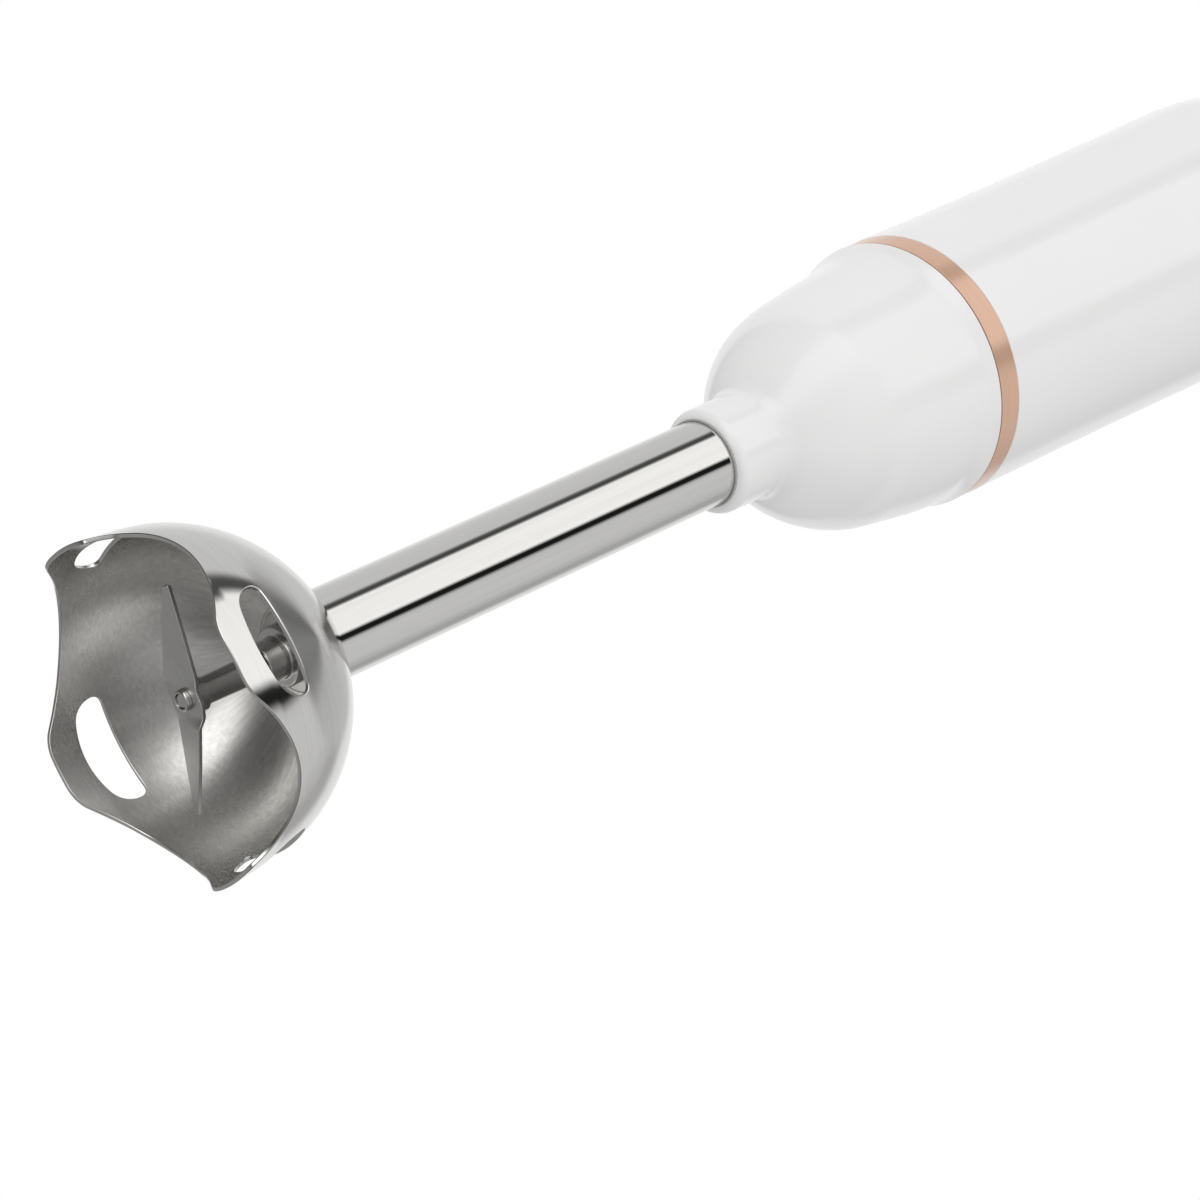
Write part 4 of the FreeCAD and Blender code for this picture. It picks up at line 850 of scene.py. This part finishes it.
def make_world():
    """A soft studio: light panels and dark flags, by azimuth from the front and by elevation."""
    world = bpy.data.worlds.new("studio")
    world.use_nodes = True
    bpy.context.scene.world = world
    nodes, links = world.node_tree.nodes, world.node_tree.links
    background = nodes["Background"]

    def calculate(operation, first, second=None):
        made = nodes.new("ShaderNodeMath")
        made.operation = operation
        for index, source in enumerate((first, second)):
            if isinstance(source, (int, float)):
                made.inputs[index].default_value = source
            elif source is not None:
                links.new(source, made.inputs[index])
        return made.outputs[0]

    def band(source, stops):
        """Brightness round the horizon, from (azimuth, brightness) stops."""
        made = nodes.new("ShaderNodeValToRGB")
        elements = made.color_ramp.elements
        while len(elements) < len(stops):
            elements.new(0.5)
        for element, (azimuth, bright) in zip(elements, stops):
            element.position = (azimuth + 180.0) / 360.0
            element.color = (bright, bright, bright, 1.0)
        links.new(source, made.inputs[0])
        return made.outputs[0]

    def blend(source, low, high, below, above):
        """One band under the low elevation and another over the high one."""
        share = nodes.new("ShaderNodeMapRange")
        share.interpolation_type = "SMOOTHSTEP"
        share.inputs["From Min"].default_value = math.sin(math.radians(low))
        share.inputs["From Max"].default_value = math.sin(math.radians(high))
        links.new(source, share.inputs["Value"])
        mix = nodes.new("ShaderNodeMix")
        mix.data_type = "RGBA"
        links.new(share.outputs[0], mix.inputs["Factor"])
        links.new(below, mix.inputs["A"])
        links.new(above, mix.inputs["B"])
        return mix.outputs["Result"]

    split = nodes.new("ShaderNodeSeparateXYZ")
    links.new(nodes.new("ShaderNodeTexCoord").outputs["Generated"], split.inputs[0])
    x, y, z = split.outputs
    azimuth = calculate("ARCTAN2", x, calculate("MULTIPLY", y, -1.0))
    around = calculate("ADD", calculate("DIVIDE", azimuth, FULL_TURN), 0.5)
    middle = band(around, MIDDLE_BAND)
    upper = band(around, UPPER_BAND)
    lower = band(around, LOWER_BAND)
    lit = blend(z, *LOW_EDGE, lower, blend(z, *HIGH_EDGE, middle, upper))
    path = nodes.new("ShaderNodeLightPath")

    def towards(source, share, bright):
        """The light moved towards one even brightness by a share."""
        mix = nodes.new("ShaderNodeMix")
        mix.data_type = "RGBA"
        links.new(share, mix.inputs["Factor"])
        links.new(source, mix.inputs["A"])
        mix.inputs["B"].default_value = (bright, bright, bright, 1.0)
        return mix.outputs["Result"]

    share = calculate("MULTIPLY", path.outputs["Is Diffuse Ray"], DIFFUSE_SHARE)
    soft = towards(lit, share, DIFFUSE_BRIGHT)
    links.new(towards(soft, path.outputs["Is Camera Ray"], 1.0), background.inputs["Color"])


MIDDLE_BAND = [
    (-180, 0.95), (-145, 0.95), (-128, 0.82), (-68, 0.80), (-62, 0.25), (-59, 0.10), (-52, 0.09), (-48, 0.6),
    (-45, 1.30), (15, 1.38), (19, 0.6), (22, 0.015), (32, 0.015), (36, 0.4), (40, 0.76), (50, 0.82),
    (90, 0.78), (108, 0.66), (118, 0.54), (130, 0.54), (145, 0.95), (180, 0.95),
]
UPPER_BAND = [
    (-180, 0.75), (-120, 0.78), (-90, 0.68), (-70, 0.48), (-50, 0.24), (-30, 0.20), (0, 0.30), (30, 0.28),
    (45, 0.36), (65, 0.62), (90, 0.66), (140, 0.68), (180, 0.72),
]
LOWER_BAND = [
    (-180, 0.35), (-150, 0.25), (-130, 0.15), (-107, 0.10), (-85, 0.12), (-70, 0.2), (-60, 0.5), (-50, 2.0),
    (-28, 2.1), (-16, 1.1), (-4, 0.65), (25, 0.42), (50, 0.6), (65, 0.55), (85, 0.2), (105, 0.12),
    (125, 0.2), (145, 0.4), (180, 0.35),
]


def make_floor():
    """A pale floor that fades out far away and doesn't hide the blender from below."""
    corners = [(-FLOOR_HALF, -FLOOR_HALF), (FLOOR_HALF, -FLOOR_HALF), (FLOOR_HALF, FLOOR_HALF),
               (-FLOOR_HALF, FLOOR_HALF)]
    mesh = bpy.data.meshes.new("floor")
    mesh.from_pydata([(x, y, CAD_BOX[0][2] - FLOOR_DROP) for x, y in corners], [], [(0, 1, 2, 3)])
    floor = bpy.data.objects.new("floor", mesh)
    bpy.context.scene.collection.objects.link(floor)
    paint = Paint("pale_floor", Roughness=0.9)
    paint.colour(paint.noise(paint.coordinates, 6.0), (0.86, 0.86, 0.86), (0.88, 0.88, 0.88))
    clear = paint.node("ShaderNodeBsdfTransparent")
    mix = paint.node("ShaderNodeMixShader")
    length = paint.node("ShaderNodeVectorMath", operation="LENGTH")
    paint.links.new(paint.coordinates, length.inputs[0])
    far = paint.node("ShaderNodeMapRange")
    far.inputs["From Min"].default_value = FADE_START
    far.inputs["From Max"].default_value = FADE_END
    paint.links.new(length.outputs["Value"], far.inputs["Value"])
    geometry = paint.node("ShaderNodeNewGeometry")
    hidden = paint.math("MAXIMUM", geometry.outputs["Backfacing"], far.outputs[0])
    paint.links.new(hidden, mix.inputs[0])
    paint.links.new(paint.shader.outputs[0], mix.inputs[1])
    paint.links.new(clear.outputs[0], mix.inputs[2])
    paint.links.new(mix.outputs[0], paint.nodes["Material Output"].inputs["Surface"])
    mesh.materials.append(paint.made)
    floor.visible_glossy = False
    floor.visible_diffuse = False
    floor.visible_shadow = False


make_camera()
make_world()
make_floor()
bpy.context.scene.view_settings.view_transform = "Standard"

INNER_PAINTS = {
    "white_gloss": white_plastic(),
    "copper_ring": rose_copper(),
    "turned_steel": turned_steel(),
    "grey_plastic": moulded("grey_plastic", (0.085, 0.085, 0.09), (0.11, 0.11, 0.115), 0.42),
    "soft_grey": moulded("soft_grey", (0.24, 0.24, 0.245), (0.28, 0.28, 0.285), 0.55, 1400.0),
    "seal_grey": moulded("seal_grey", (0.42, 0.42, 0.415), (0.47, 0.47, 0.465), 0.55),
    "black_rubber": moulded("black_rubber", (0.012, 0.012, 0.012), (0.022, 0.022, 0.022), 0.62),
    "black_plastic": moulded("black_plastic", (0.015, 0.015, 0.017), (0.025, 0.025, 0.028), 0.35),
    "carbon": moulded("carbon", (0.018, 0.018, 0.018), (0.04, 0.04, 0.04), 0.55, 2500.0, 0.00002),
    "board_green": moulded("board_green", (0.01, 0.10, 0.035), (0.02, 0.15, 0.05), 0.30, 300.0),
    "yellow_film": moulded("yellow_film", (0.50, 0.33, 0.03), (0.58, 0.40, 0.05), 0.28),
    "nylon": moulded("nylon", (0.60, 0.58, 0.50), (0.68, 0.66, 0.58), 0.38),
    "zinc_steel": metal("zinc_steel", (0.50, 0.51, 0.50), (0.60, 0.61, 0.60), 0.28, 300.0),
    "spring_steel": metal("spring_steel", (0.33, 0.34, 0.36), (0.45, 0.46, 0.48), 0.25, 900.0),
    "bronze": metal("bronze", (0.38, 0.22, 0.10), (0.55, 0.34, 0.16), 0.42, 1800.0),
    "brush_brass": metal("brush_brass", (0.62, 0.44, 0.16), (0.72, 0.53, 0.22), 0.25, 500.0),
    "commutator_copper": metal("commutator_copper", (0.62, 0.32, 0.17), (0.72, 0.40, 0.23), 0.18, 700.0),
    "lamination": layered("lamination", (0.16, 0.16, 0.17), (0.34, 0.34, 0.36), 1400.0, 0.36),
    "copper_wire": layered("copper_wire", (0.36, 0.12, 0.04), (0.62, 0.26, 0.10), 1100.0, 0.28),
}
paint_carried_nodes(INNER_PAINTS)
WHITE = INNER_PAINTS["white_gloss"]
TURNED = INNER_PAINTS["turned_steel"]
make_guard(polished_guard(), brushed_guard())
make_arm(polished_tube(), WHITE, TURNED, INNER_PAINTS["seal_grey"])
make_blade(ground_blade(BLADE_TURN), TURNED)
make_handle(WHITE, INNER_PAINTS["copper_ring"], INNER_PAINTS["soft_grey"])
